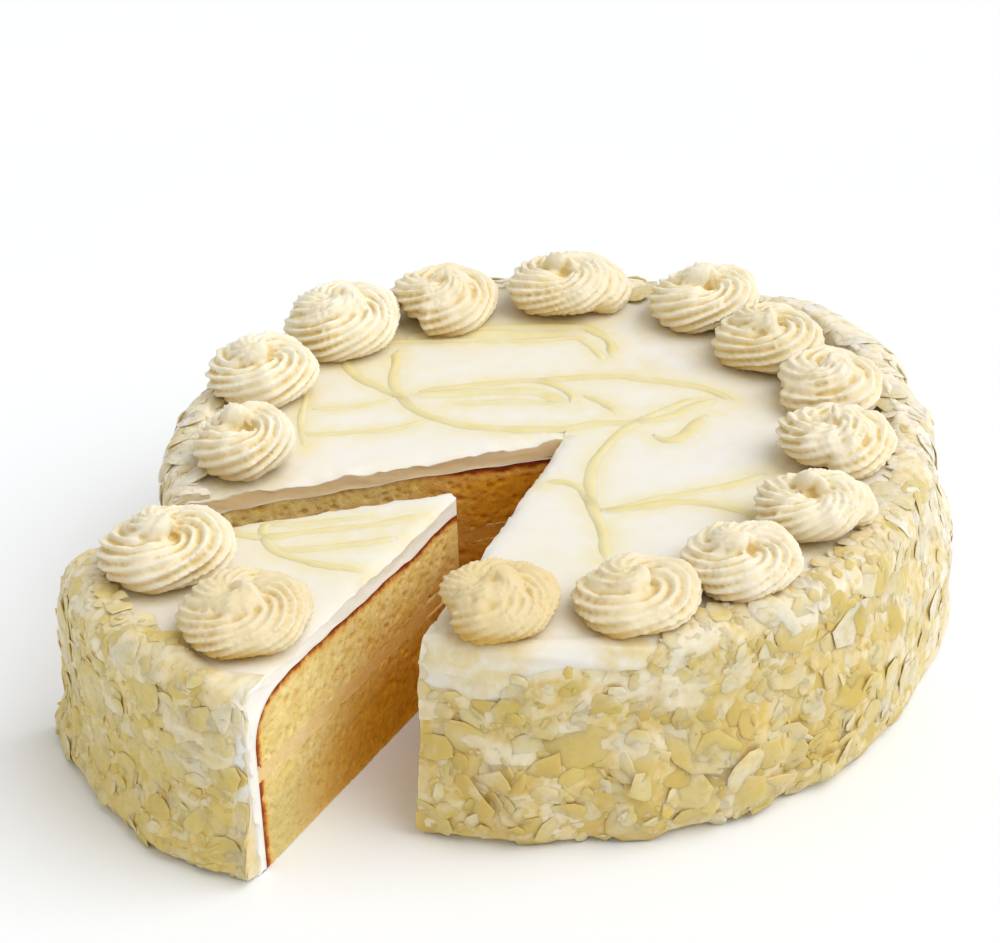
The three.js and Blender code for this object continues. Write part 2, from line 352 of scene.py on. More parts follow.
# Rosettes on the cake: angle, distance, radius, height, start of the swirl,
# then how it was piped, with a cream tint that is partly painted shade. On the slice: x, y, then the same.
ROSETTES = [
    (-83.0, 89.0, 16.6, 20.5, 20, dict(turns=1.8, twist=0.86, teeth=12, warm=0.30)),
    (-112.2, 95.5, 18.0, 18.0, 75, dict(turns=1.8, twist=0.82, teeth=12, warm=0.10)),
    (-136.5, 95.5, 20.6, 19.5, 160, dict(turns=1.85, twist=0.97, teeth=14, warm=0.05)),
    (-158.8, 91.3, 19.0, 17.5, 230, dict(turns=1.7, twist=0.82, teeth=12, warm=0.55)),
    (175.0, 92.4, 20.8, 18.0, 300, dict(turns=1.9, twist=0.90, teeth=14, warm=0.45)),
    (147.2, 94.6, 19.2, 18.5, 10, dict(turns=1.8, twist=1.05, teeth=12, warm=0.25)),
    (126.1, 85.6, 18.0, 18.5, 95, dict(turns=1.75, twist=0.68, teeth=12, warm=0.50)),
    (104.0, 87.4, 17.6, 15.5, 180, dict(turns=1.9, twist=0.56, teeth=11, warm=0.40)),
    (79.2, 85.0, 18.4, 17.0, 250, dict(turns=1.7, twist=0.75, teeth=12, ruffle=0.07, warm=0.35)),
    (53.9, 90.7, 17.8, 18.0, 330, dict(turns=1.75, twist=1.43, teeth=12, ruffle=0.05, warm=0.25)),
    (32.6, 94.3, 18.0, 15.5, 45, dict(turns=1.8, twist=0.97, teeth=12, warm=0.40)),
    (12.9, 98.0, 17.6, 13.5, 120, dict(turns=1.7, twist=0.68, teeth=11, warm=0.75)),
    (-8.1, 98.2, 17.6, 16.0, 200, dict(turns=1.8, twist=1.20, teeth=14, warm=1.45)),
]
SLICE_ROSETTES = [
    (-105.4, -68.4, 19.0, 18.5, 60, dict(turns=1.8, twist=0.82, teeth=12, warm=0.35)),
    (-80.8, -101.0, 18.4, 16.5, 140, dict(turns=1.8, twist=1.05, teeth=14, warm=0.95)),
]
SPOTS = [(*(heading(np.array(math.radians(a))) * d), r, h, s, k) for a, d, r, h, s, k in ROSETTES] + SLICE_ROSETTES


# Round the cake: plan angle, height at which the shards start to pile up, and
# how thick the coat is at the foot. The slice took its part of it along.
PILE = np.array([
    (-180, 46, 6.0), (-120, 46, 6.0), (-80, 36, 6.0), (-70, 16, 7.2), (-55, 18, 5.8),
    (-43, 20, 7.0), (-35, 22, 8.4), (-28, 20, 6.6), (-23, 18, 4.4), (-20, 30, 6.4),
    (-10, 33, 7.4), (-4, 34, 8.2), (4, 34, 5.8), (12, 35, 8.8), (17, 36, 7.0),
    (23, 38, 8.4), (32, 42, 5.4), (38, 43, 8.0), (46, 46, 6.4), (56, 48, 4.4),
    (66, 48, 3.6), (73, 49, 5.0), (79, 49, 6.0), (120, 48, 6.0), (180, 46, 6.0)], float)


def pile(a, s, slice_):
    """What the heaped shards add to the coat lower down, in mm."""
    deg = (np.degrees(a) + (4.85 if slice_ else 0.0) + 180) % 360 - 180
    start, foot = np.interp(deg, PILE[:, 0], PILE[:, 1]), np.interp(deg, PILE[:, 0], PILE[:, 2])
    return np.maximum(foot - 2.1, 0) * smooth01((start - s) / 16.0) * (0.75 + 0.25 * smooth01(s, 0, 4))


def slump(a, r, z, slice_):
    """Where the iced rim was pressed in: change of radius and of height, in mm."""
    deg = (np.degrees(a) + 180) % 360 - 180
    if slice_:
        w = 1 - smooth01(deg, -77, -58)
        return (-4.6 * w * smooth01(z, 32, 57) * smooth01(r, 70, 104),
                -2.4 * w * smooth01(r, 90, 112) * smooth01(z, 40, 56))
    w = smooth01(deg, 40, 70) * (1 - smooth01(deg, 112, 150))
    return -2.6 * w * smooth01(z, 30, 46) * smooth01(r, 80, 106), 0.0 * z


# -------------------------------------------------------------------- sponge
def sponge_columns(step):
    flat = np.linspace(0, RS, int(round(RS / step / 4)) * 4 + 1)
    arc = np.radians(np.linspace(0, 90, 29)[1:])
    return np.concatenate([flat, RS + R_SHOULDER * np.sin(arc)])


def shoulder_top(rho, z_top, shoulder):
    if not shoulder:
        return np.full_like(rho, z_top)
    d = np.clip(rho - RS, 0, R_SHOULDER)
    return z_top - R_SHOULDER + np.sqrt(np.maximum(R_SHOULDER ** 2 - d ** 2, 0))


def seam(xy, level):
    """How far a layer's edge wanders up or down, the same on both sides of it."""
    q = np.concatenate([xy, np.full((len(xy), 1), 40.0 * level)], 1)
    return 0.55 * vnoise(q, 9.0, 301) + 0.28 * vnoise(q, 2.6, 302)


def wave(xy, r):
    """How the sponge's top, and the icing on it, wander up and down."""
    q = np.concatenate([xy, np.full((len(xy), 1), 77.0)], 1)
    return (0.80 * vnoise(q, 13.0, 311) + 0.38 * vnoise(q, 4.6, 312)) * (1 - smooth01(r, RS - 4, R_SPONGE - 2))


def knife(t, z, seed):
    """The uneven face the knife left, in mm: the same over all the layers."""
    p = np.stack([t, z, np.full_like(t, seed * 31.7)], 1)
    return 0.32 * fbm(p, 17.0, seed, 2) + 0.30 * fbm(p * np.array([1.0, 0.55, 1.0]), 4.2, seed + 3, 3)


def crumb(t, z, seed):
    """Relief of a cut sponge face, in mm inwards, and how open the crumb is."""
    p = np.stack([t, z, np.full_like(t, seed * 31.7)], 1)
    drag = p * np.array([1.0, 0.55, 1.0])
    wave = knife(t, z, seed) + 0.17 * vnoise(p, 1.5, seed + 5)
    f1, f2, who = worley(p, 2.3, seed + 21, flat=True)
    hole = smooth01(1 - f1 / (0.35 + 0.75 * who), 0.0, 0.9) * (who > 0.35)
    g1, g2, gwho = worley(p, 5.6, seed + 41, flat=True)
    big = smooth01(1 - g1 / (0.5 + 1.3 * gwho), 0.0, 0.9) * (gwho > 0.62)
    # torn ridges, where the crumb pulled instead of cutting clean
    tear = np.abs(vnoise(drag, 6.5, seed + 61))
    torn = smooth01(0.16 - tear, 0, 0.16) * 0.30
    deep = 0.55 + wave + 0.75 * hole * who + 0.95 * big + torn
    return deep, np.clip(hole * 0.7 + big * 0.9 + torn, 0, 1)


def sponge(name, cut, z0, z1, shoulder, crusts, seams, seed, step, replaces, material, ring_steps, cream=False):
    b = Build("crust", "pore", "inner", "damp")
    rho = sponge_columns(step)
    top = shoulder_top(rho, z1, shoulder)
    nv = int(round((z1 - z0) / step / 4)) * 4 + 1
    v = np.linspace(0, 1, nv)
    z = z0 + (top - z0)[:, None] * v[None, :]
    m = len(rho)
    rr = np.repeat(rho[:, None], nv, 1)
    # distance to the browned outside
    far = np.full(z.shape, 30.0)
    if "top" in crusts:
        far = np.minimum(far, z1 - z)
        bend = (rr > RS) & (z > z1 - R_SHOULDER)
        d = R_SHOULDER - np.hypot(rr - RS, z - (z1 - R_SHOULDER))
        far = np.where(bend, np.minimum(far, d), far)
    if "wall" in crusts:
        far = np.minimum(far, R_SPONGE - rr)
    far = np.maximum(far, 0)
    grids = []
    for side, (phi, n) in enumerate(((cut.a0, cut.n0), (cut.a1, cut.n1))):
        xy = cut.xy(phi, rho)
        t = cut.along(phi, rho)
        tt = np.repeat(t[:, None], nv, 1)
        face = seed % 200 + 100 * side
        deep, pore = crumb(tt.ravel(), z.ravel(), face)
        if cream:
            q = np.stack([tt.ravel(), z.ravel(), np.full(tt.size, seed + side)], 1)
            deep = 0.72 + knife(tt.ravel(), z.ravel(), face) + 0.10 * vnoise(q, 1.4, seed + 6)
            pore = 0 * pore
        rim = np.minimum(far, 30)
        if 0 not in seams:
            rim = np.minimum(rim, z - z0)
        keep = smooth01(rim, -0.3, 1.4).ravel() * 0.8 + 0.2
        point = smooth01(tt - tt[0, 0], 0, 5.0).ravel()
        deep = deep * keep * point
        p = np.concatenate([np.repeat(xy[:, None, :], nv, 1), z[..., None]], 2).reshape(-1, 3)
        p[:, :2] -= n[None] * deep[:, None]
        # the layers' edges wander a little up and down
        for level, zz in ((0, z0), (1, z1)):
            if level in seams:
                p[:, 2] += seam(p[:, :2], seams[level]) * (1 - smooth01(np.abs(z - zz).ravel(), 0, 3.2 if not cream else 2.2))
        if shoulder:
            below = (np.repeat(top[:, None], nv, 1) - z).ravel()
            p[:, 2] += wave(p[:, :2], rr.ravel()) * (1 - smooth01(below, 0, 8))
        # the crust is paler towards the outside than near the middle
        wobble = 0.5 * vnoise(np.stack([tt.ravel(), z.ravel(), 0 * tt.ravel()], 1), 9.0, seed + 77)
        pale = (4.6 + 1.6 * wobble) * smooth01(tt.ravel(), 26, 58) if not cut.blunt else 0.0
        # painted shade: darker and browner towards the cut's point and low down, where the cake shades its own cut
        # faces
        inner = 0.95 * smooth01((97 + 9 * (1 - smooth01(z.ravel(), 8, 26)) - tt.ravel()) / 57.0) * (1 - 0.90 * smooth01(z.ravel(), 14, 50))
        if not cut.blunt:
            inner = np.maximum(inner, 0.97 * (1 - smooth01(tt.ravel(), 22, 64)))
        inner = inner + 0.42 * (1 - smooth01(z.ravel(), 8, 32)) * smooth01(105 - tt.ravel(), 0, 45) * (1 - inner)
        # the last value paints shade, darker towards the bottom of the sponge
        ids = b.points(p, crust=np.maximum(far.ravel() + 0.45 * wobble * (far.ravel() > 0.2), 0) + pale, pore=pore, inner=inner,
                       damp=1 - smooth01(z.ravel(), 10, 30)).reshape(m, nv)
        b.quads(ids, flip=(side == 1))
        grids.append(ids)
    ring = lambda ids: np.concatenate([ids[:-1, 0], ids[-1, :-1], ids[:0:-1, -1], ids[0, :0:-1]])
    r0, r1 = ring(grids[0]), ring(grids[1])
    ij = ring(np.arange(m * nv).reshape(m, nv))
    br, bz, bf = rr.ravel()[ij], z.ravel()[ij], far.ravel()[ij]
    outside = bf.copy()
    # rounding of the cake's outside, on the coarse rings
    phis = np.linspace(cut.a0, cut.a1, ring_steps + 1)[1:-1]
    phis = np.concatenate([[cut.a0 + 0.35 * (phis[0] - cut.a0)], phis, [cut.a1 - 0.35 * (cut.a1 - phis[-1])]])
    coarse = np.arange(0, len(ij), 4)
    last = None
    for k, phi in enumerate(phis):
        xy = cut.xy(phi, br[coarse])
        p = np.concatenate([xy, bz[coarse][:, None]], 1)
        crust = np.where(outside[coarse] < 0.4, 0.0, outside[coarse])
        ids = b.points(p, crust=crust, pore=0.0, inner=0.0)
        if last is None:
            stitch(b, r0, ids, flip=False)
        else:
            b.quads(np.stack([last, ids], 0), wrap=True, flip=True)
        last = ids
    stitch(b, r1, last, flip=True)
    vv, ff, aa = b.arrays()
    if not cut.blunt:
        # both cut faces share the upright edge at the point: no slivers there
        at = np.linalg.norm(vv[:, :2] - cut.apex, axis=1) < 1e-3
        t = ff[:, 3] < 0
        ff = ff[~(t & at[ff[:, 0]] & at[ff[:, 1]] & at[ff[:, 2]])]
        vv, ff, aa = used(vv, ff, aa)
    return make(name, vv, ff, material, aa, replaces, outward=True, crease=58)


def stitch(b, fine, coarse, flip):
    """Joins a ring to another with a quarter of its vertices."""
    n = len(coarse)
    out = []
    for k in range(n):
        c0, c1 = coarse[k], coarse[(k + 1) % n]
        f = [fine[(4 * k + j) % len(fine)] for j in range(5)]
        out += [(c0, f[1], f[0]), (c0, f[2], f[1]), (c0, c1, f[2]), (c1, f[3], f[2]), (c1, f[4], f[3])]
    b.tris(out, flip=not flip)


# --------------------------------------------------------------------- icing
def strokes(xy):
    """Height of the spread icing's top above its flat level, in mm."""
    p = np.concatenate([xy, np.zeros((len(xy), 1))], 1)
    turn = math.radians(8)
    c, s = math.cos(turn), math.sin(turn)
    q = np.stack([c * p[:, 0] + s * p[:, 1], (-s * p[:, 0] + c * p[:, 1]) * 3.2, p[:, 2]], 1)
    ridge = np.clip(1 - np.abs(vnoise(q, 30.0, 9)) * 5.0, 0, 1)
    return 0.26 * fbm(q, 46.0, 5, 2) + 0.14 * vnoise(q, 17.0, 8) + 0.13 * ridge ** 2 - 0.10


def icing_section(n_top, n_arc, n_wall):
    """Outer and inner line of the icing's section, from the middle out and
    down: radius, height and the outward normal of the outer line."""
    rho = np.linspace(0, RC, n_top)
    arc = np.radians(np.linspace(0, 90, n_arc)[1:])
    wall = np.linspace(ZC, 0.0, n_wall)[1:]
    outer = [(r, H_ICING, 0, 1) for r in rho]
    outer += [(RC + R_CORNER * math.sin(t), ZC + R_CORNER * math.cos(t), math.sin(t), math.cos(t)) for t in arc]
    outer += [(R_ICING, z, 1, 0) for z in wall]
    inner = [(r * RS / RC, Z_SPONGE_TOP + 0.05) for r in rho]
    rr = R_SHOULDER + 0.05
    inner += [(RS + rr * math.sin(t), ZS + rr * math.cos(t)) for t in arc]
    inner += [(R_SPONGE + 0.05, z * ZS / ZC) for z in wall]
    return np.array(outer, float), np.array(inner, float)


def knifed(xy, cut):
    """How far the knife drew the icing's top down beside the cuts, in mm."""
    rel = xy - cut.apex
    gap0 = np.where(rel @ heading(np.array(cut.a0)) > -1, np.abs(rel @ cut.n0), 99)
    gap1 = np.where(rel @ heading(np.array(cut.a1)) > -1, np.abs(rel @ cut.n1), 99)
    return 1.6 * np.exp(-np.minimum(gap0, gap1) / 2.1)


def rim_relief(a, z, n_r):
    """Smears on the icing's upper side, in mm outwards."""
    s = a * R_ICING
    lay = fbm(np.stack([s * 0.30, z * 1.25, 0 * z], 1), 8.5, 31, 3)
    bend = z + 0.10 * s + 2.2 * vnoise(np.stack([s * 0.4, z * 0.3, 0 * z], 1), 9.0, 36)
    ridge = 1 - np.abs(vnoise(np.stack([s * 0.11, bend, 0 * z], 1), 4.6, 37)) * 2.0
    fine = 1 - np.abs(vnoise(np.stack([s * 0.16, bend * 1.1, 0 * z + 9], 1), 2.6, 38)) * 2.0
    rough = 0.95 * lay + 1.25 * np.clip(ridge, 0, 1) ** 1.4 + 0.45 * np.clip(fine, 0, 1) ** 1.3
    return rough * np.sqrt(np.clip(n_r, 0, 1))


def stain(xy, z, n_r):
    """Where cream from the rosettes and shards has coloured the icing, with painted shadow beside the rosettes, heavier
    on their side away from the key light.
    """
    p = np.concatenate([xy, z[:, None]], 1)
    patchy = 0.5 + 0.5 * fbm(p, 8.0, 91, 3)
    near = np.zeros(len(xy))
    for x, y, r, *_ in SPOTS:
        dx, dy = xy[:, 0] - x, xy[:, 1] - y
        d = np.hypot(dx, dy)
        # painted shadow: stronger on each rosette's left and front side
        side = 0.62 + 0.38 * (-0.85 * dx - 0.5 * dy) / np.maximum(d, 1e-6)
        near = np.maximum(near, side * np.exp(-np.maximum(d - 0.86 * r, 0) / 4.4))
    back = smooth01(xy[:, 0], 5, 40) * smooth01(xy[:, 1], 22, 52) * smooth01(patchy, 0.30, 0.75) * 0.55
    wall = 0.80 * smooth01(n_r, 0.15, 0.7) * smooth01(patchy, 0.35, 0.75)
    return np.clip(np.maximum(near * (0.5 + 0.6 * patchy), back) + wall, 0, 1)


def washed(xy, strands):
    """Where thin drizzle ran out over the icing, 0 to 1."""
    out = np.zeros(len(xy))
    for pts, width, height in strands.values():
        c = through(pts, 2.0)
        for k in range(0, len(c), 12):
            part = c[k:k + 13]
            d = np.sqrt(((xy[:, None, :] - part[None]) ** 2).sum(2)).min(1)
            out = np.maximum(out, np.exp(-(d / (1.0 * width + 2.6)) ** 2))
            out = np.maximum(out, 0.36 * np.exp(-(d / 13.0) ** 2) * (height > 0.85))
    return out


def icing(name, cut, steps, seed, replaces, material, strands, section=(56, 15, 36)):
    b = Build("cutface", "stain", "wash", "bright")
    outer, inner = icing_section(*section)
    phis = spread(cut, steps)
    m = len(outer)
    arc = np.where(outer[:, 1] < ZC, outer[:, 1], ZC + R_CORNER * np.arctan2(outer[:, 3], outer[:, 2]))
    first = cut.rim_angle(cut.a0, R_ICING) - 0.05
    o_ids, i_ids = [], []
    for k, phi in enumerate(phis):
        xy = cut.xy(phi, outer[:, 0])
        rel = xy - cut.o
        ang = np.arctan2(rel[:, 0], -rel[:, 1])
        rad = rel / np.maximum(np.linalg.norm(rel, axis=1, keepdims=True), 1e-6)
        lift = strokes(xy) * outer[:, 3]
        turned = ang if cut.blunt else np.where(ang < first, ang + 2 * math.pi, ang)
        side = rim_relief(ang, outer[:, 1], outer[:, 2]) * smooth01(outer[:, 1], 4, 20)
        side *= 0.08 + 0.92 * bare(turned, arc, bool(cut.blunt))
        # the knife draws the edge down a little
        q = np.concatenate([xy, outer[:, 1:2]], 1)
        drag = knifed(xy, cut) * (1 + 0.7 * vnoise(q, 5.0, seed) + 0.4 * vnoise(q, 1.8, seed + 1))
        d = lift + side - drag
        dr, dz = slump(ang, outer[:, 0], outer[:, 1], bool(cut.blunt))
        p = np.concatenate([xy + rad * (d * outer[:, 2] + dr)[:, None], (outer[:, 1] + d * outer[:, 3] + dz)[:, None]], 1)
        p[-1, 2] = 0.0
        o_ids.append(b.points(p, cutface=0.0, stain=stain(xy, outer[:, 1], outer[:, 2]), wash=washed(xy, strands) * outer[:, 3]))
        p = np.concatenate([cut.xy(phi, inner[:, 0]), inner[:, 1:2]], 1)
        p[:, 2] += wave(p[:, :2], inner[:, 0])
        i_ids.append(b.points(p, cutface=0.0, stain=0.0))
    o_ids, i_ids = np.array(o_ids), np.array(i_ids)
    b.quads(o_ids)
    b.quads(i_ids, flip=True)
    # underside of the foot, and the face at the blunt point; their two end
    # strips are fans, because the cut faces beside them are finer
    for j in ((-1, 0) if cut.blunt else (-1,)):
        b.quads(np.stack([o_ids[1:-1, j], i_ids[1:-1, j]], 1))
    # the two cut faces of the icing
    v = np.concatenate(b.v)
    across = 9
    for side, (k, n) in enumerate(((0, cut.n0), (-1, cut.n1))):
        w = np.linspace(0, 1, across)[1:-1]
        po, pi = v[o_ids[k]], v[i_ids[k]]
        rows = [o_ids[k]]
        for x in w:
            p = po * (1 - x) + pi * x
            q = np.stack([cut.along(phis[k], outer[:, 0]), p[:, 2], np.full(m, seed + side * 9.0)], 1)
            dent = 0.22 + 0.30 * fbm(q * np.array([0.5, 1, 1]), 3.2, seed + 50, 2) + 0.12 * vnoise(q, 1.1, seed + 51)
            dent *= math.sin(math.pi * min(max(x, 0.05), 0.95)) ** 0.5
            dent *= smooth01(np.arange(m), 0, 3)
            p[:, :2] -= n[None] * dent[:, None]
            # the main cake's cut face gets painted shade, the slice's cut face painted light
            rows.append(b.points(p, cutface=0.12 if cut.blunt else 1.0, stain=0.0 if cut.blunt else 0.3 * x, bright=1.0 if cut.blunt else 0.0))
        rows.append(i_ids[k])
        rows = np.stack(rows, 0)
        b.quads(rows, flip=(side == 0))
        nxt = 1 if k == 0 else -2
        for j in ((-1, 0) if cut.blunt else (-1,)):
            edge, hub, last = rows[:, j], o_ids[nxt, j], i_ids[nxt, j]
            b.tris([(hub, edge[i], edge[i + 1]) for i in range(len(edge) - 1)] + [(hub, edge[-1], last)])
    vv, ff, aa = b.arrays()
    return make(name, vv, ff, material, aa, replaces, outward=True, crease=62)


# ------------------------------------------------------------------- rosettes
def rosette(name, x, y, radius, height, start_deg, seed, slot, replaces, material,
            turns=1.75, teeth=8, twist=0.6, depth=0.40, ruffle=0.03, warm=0.0, tilt=(0.0, 0.0), flat=0.0, squash=(1.0, 1.0)):
    """A rope from a star nozzle, laid in a ring and wound up to a point."""
    nu, nq = int(turns * 130), 98
    u = np.linspace(0, 1, nu)
    th = u * 2 * math.pi * turns
    ring_share = 0.92 / turns
    k = smooth01((u - ring_share * 0.72) / (1 - ring_share * 0.72))
    rng = np.random.default_rng(seed)
    ph = rng.uniform(0, 6.28, 6)
    swell = 1 + 0.06 * np.sin(2.3 * th + ph[0]) + 0.05 * np.sin(4.9 * th + ph[1])
    path_r = radius * (0.53 * (1 - k) + 0.02 * k)
    half_r = radius * (0.46 * (1 - k) + 0.30 * k) * swell
    half_z = height * (0.36 * (1 - k) + (0.31 - 0.05 * flat) * k) * swell
    mid_z = height * (0.27 + 0.12 * np.clip(u / ring_share, 0, 1) * (1 - k) + 0.40 * k)
    # both ends close: a blunt start on the icing, and a drawn-up point
    head = np.sqrt(np.clip(u / 0.035, 0, 1))
    tail = np.clip((1 - u) / 0.16, 0, 1) ** 0.75
    size = np.maximum(head * tail, 0.02)
    mid_z = mid_z + height * 0.24 * (1 - np.clip((1 - u) / 0.16, 0, 1)) ** 1.3
    psi = np.linspace(0, 2 * math.pi, nq, endpoint=False)
    T, P = np.meshgrid(th, psi, indexing="ij")
    tooth = 0.5 * teeth * (P - twist * T) + ph[2] + 0.25 * np.sin(1.7 * T + ph[3])
    groove = 0.7 * (1 - np.abs(np.cos(tooth))) + 0.3 * np.abs(np.sin(tooth))
    rag = vnoise(np.stack([2.6 * T.ravel(), 1.9 * np.cos(P.ravel()), 1.9 * np.sin(P.ravel())], 1), 1.0, seed + 50).reshape(T.shape)
    cutin = depth * groove * (0.85 + 0.3 * np.sin(3.1 * T + ph[4])) * (1 + 0.35 * rag) - 0.045 * rag
    star = 1 - cutin + ruffle * np.sin(11 * T + ph[5]) * np.clip(np.sin(P) + 0.3, 0, 1)
    r = (half_r * size)[:, None] * star
    h = (half_z * size)[:, None] * star
    rad = path_r[:, None] + r * np.cos(P)
    px = rad * np.cos(T)
    py = rad * np.sin(T)
    pz = mid_z[:, None] + h * np.sin(P)
    grid = np.stack([px, py, pz], -1)
    b = Build()
    ids = b.points(grid).reshape(nu, nq)
    b.quads(ids, wrap=True)
    for end in (0, -1):
        c = b.points(grid[end].mean(0))[0]
        e = ids[end]
        t = [(c, e[i], e[(i + 1) % nq]) for i in range(nq)]
        b.tris(t, flip=(end == -1))
    v, f, _ = b.arrays(weld=False)
    v[:, 2] = np.maximum(v[:, 2], -0.2)
    v, f = voxel(v, f, 0.66)
    e = edges_of(f)
    v = relax(v, e, 1, 0.25)
    # small tears and air bubbles in whipped cream
    n = normals_of(v, f)
    v = v + n * (0.10 * fbm(v + seed * 9.1, 3.4, seed, 3) + 0.05 * vnoise(v, 0.9, seed + 3))[:, None]
    # painted shade in the grooves and painted highlight on the ridges, from how deep each point lies
    soft = relax(v, e, 14, 0.6)
    hollow = ((soft - v) * n).sum(1)
    hollow = relax(np.clip(hollow / 0.5, -1, 1)[:, None], e, 4)[:, 0]
    low = 1 - smooth01(v[:, 2], 0.0, 0.6 * height)
    # painted shade: the sides turned down and to the left, away from the key light, are tinted ochre
    n = relax(n, e, 3)
    # lay it: turn, squash, lean
    a = math.radians(start_deg)
    rot = np.array([[math.cos(a), -math.sin(a), 0], [math.sin(a), math.cos(a), 0], [0, 0, 1]])
    v = v @ rot.T
    n = n @ rot.T
    side = n @ np.array([-0.62, -0.35, -0.70])
    shade = smooth01(side, -0.10, 0.80) * (0.30 + 0.70 * low)
    v[:, 0] *= squash[0]
    v[:, 1] *= squash[1]
    up = np.maximum(v[:, 2], 0)
    v[:, 0] += up * tilt[0]
    v[:, 1] += up * tilt[1]
    top = v[:, 2].max()
    v[:, 2] = np.where(v[:, 2] > 0, v[:, 2] * height / top, v[:, 2])
    base = H_ICING - 0.15
    v = v + np.array([x, y, base])
    v[:, 2] = np.maximum(v[:, 2], base)
    return make(name, v, f, material, {"hollow": hollow, "low": low, "shade": shade, "warm": np.full(len(v), warm)}, replaces)


# --------------------------------------------------------------------- coat
COAT_TOP = ZC + R_CORNER * math.pi / 2           # arc length from the foot to the flat top


def coat_surface(a, s, cut):
    """Point and outward normal on the icing at rim angle a and arc length s."""
    d = heading(a)
    t = np.clip((s - ZC) / R_CORNER, 0, math.pi / 2)
    r = np.where(s < ZC, R_ICING, RC + R_CORNER * np.cos(t)) - np.maximum(s - COAT_TOP, 0)
    z = np.where(s < ZC, s, ZC + R_CORNER * np.sin(t))
    nr, nz = np.cos(t), np.sin(t)
    dr, dz = slump(a, r, z, bool(cut.blunt))
    p = np.concatenate([cut.o + d * (r + dr)[:, None], (z + dz)[:, None]], 1)
    n = np.concatenate([d * nr[:, None], nz[:, None]], 1)
    return p, n


def trim(p, cut, margin=0.12):
    """Pushes what crosses a cut plane back onto it, as the knife left it."""
    for _ in range(2):
        rel = p[:, :2] - cut.apex
        o0, o1 = rel @ cut.n0 + margin, rel @ cut.n1 + margin
        if cut.a1 - cut.a0 > math.pi:      # outside only where both planes are passed
            both = (o0 > 0) & (o1 > 0)
            m0, m1 = both & (o0 <= o1), both & (o1 < o0)
        else:
            m0, m1 = o0 > 0, o1 > 0
        p[:, :2] -= (o0 * m0)[:, None] * cut.n0 + (o1 * m1)[:, None] * cut.n1
    return p


def bare(a, s, slice_):
    """How bare the icing is left there, 0 to 1."""
    deg = np.degrees(a)
    p = np.stack([a * R_ICING, s, np.full_like(a, 3.0 if slice_ else 1.0)], 1)
    ragged = 4.5 * vnoise(p, 17.0, 71) + 2.5 * vnoise(p, 6.0, 72)
    if slice_:
        # the right end of the slice's side is smeared, the left end is full
        edge = 70 - 10 * smooth01(deg, -50, -34)
        corner = smooth01(deg + 0.12 * ragged, -29.2, -27.6) * smooth01(s, 12, 26)
    else:
        edge = 44 + 8 * smooth01(deg, -18, 4) + 20 * smooth01(deg, 8, 27) - 4 * smooth01(deg, 95, 130)
        corner = 0.0
    return np.maximum(smooth01(s + ragged, edge - 3.5, edge + 3.5), corner)


def paler_and_lit(a, s):
    """The coat is whiter near the rim, and round towards the right and back, where the whiteness is partly painted
    light on the side turned to the key light.
    """
    left = 1 - smooth01(np.degrees(a), -66, -40)
    return (0.20 + 0.22 * left) * smooth01(s, 34, 60) + 0.06 * left + (0.55 - 0.16 * smooth01(s, 48, 56)) * smooth01(np.degrees(a), 28, 110)


def smears(a, s, seed, slice_):
    """Patches where icing was pushed over the shards, 0 to 1."""
    p = np.stack([a * R_ICING * 0.62, s * 1.15, np.full_like(a, 20.0 * seed)], 1)
    w = vnoise(p, 11.0, seed + 81) + 0.45 * vnoise(p, 4.5, seed + 82)
    high = smooth01(s, 14, 48)
    if slice_:
        w = w + 0.55 * smooth01(np.degrees(a), -66, -46) * smooth01(s, 22, 42)
    return smooth01(w, 0.62 - 0.30 * high - (0.10 * high if slice_ else 0), 0.92 - 0.30 * high)


def ground(a, s, seed, slice_):
    """Thickness of the shards pressed flat into the icing, in mm, and their tone."""
    deg = np.degrees(a)
    p = np.stack([a * R_ICING, s, np.full_like(a, 50.0 * seed)], 1)
    q = p + 1.6 * np.stack([vnoise(p, 6.0, seed + k) for k in (31, 32, 33)], 1)
    f1, f2, who = worley(q, 7.0, seed + 5, flat=True)
    flat = smooth01(f2 - f1, 0.0, 1.3)
    g1, g2, small = worley(q + 40, 3.6, seed + 6, flat=True)
    fine = smooth01(g2 - g1, 0.0, 0.9)
    heap = pile(a, s, slice_)
    t = 1.15 + 0.45 * vnoise(p, 24.0, seed + 8) + 0.42 * vnoise(p, 9.0, seed + 9)
    t = t + 0.75 * (who - 0.5) * flat - 0.16 * (1 - flat) + 0.34 * (small - 0.5) * fine
    t = t + 0.10 * heap * vnoise(p, 5.0, seed + 10)
    if not slice_:
        t = t + (5.6 + 1.8 * smooth01(deg, 104, 118)) * smooth01(deg, 84, 102) * (1 - smooth01(deg, 130, 151)) * smooth01(s, 44, 56) * (1 - smooth01(s, 64, 69))
    over = smears(a, s, seed, slice_)
    ripple = 0.30 * vnoise(np.stack([p[:, 0] * 0.35, p[:, 1] * 1.5, p[:, 2]], 1), 3.2, seed + 83)
    t = t * (1 - 0.55 * over) + (1.35 + ripple) * over * 0.95
    if slice_:
        t = t - 0.5 * (1 - smooth01(deg, -75, -62))
    t = np.clip(t, 0.25, 8.5)
    # a pressed shard tapers off to the cake's foot
    t = (t * (0.45 + 0.55 * smooth01(s, 0.5, 6.0)) + heap) * (1 - bare(a, s, slice_))
    tone = 0.10 + 0.32 * who * flat + 0.22 * small * fine + 0.10 * flat + paler_and_lit(a, s)
    # the last value marks the gaps between the pressed shards, for painted shade there
    return t, np.clip(tone, 0, 1), (1 - flat) * 0.7 + 0.3 * (1 - fine)


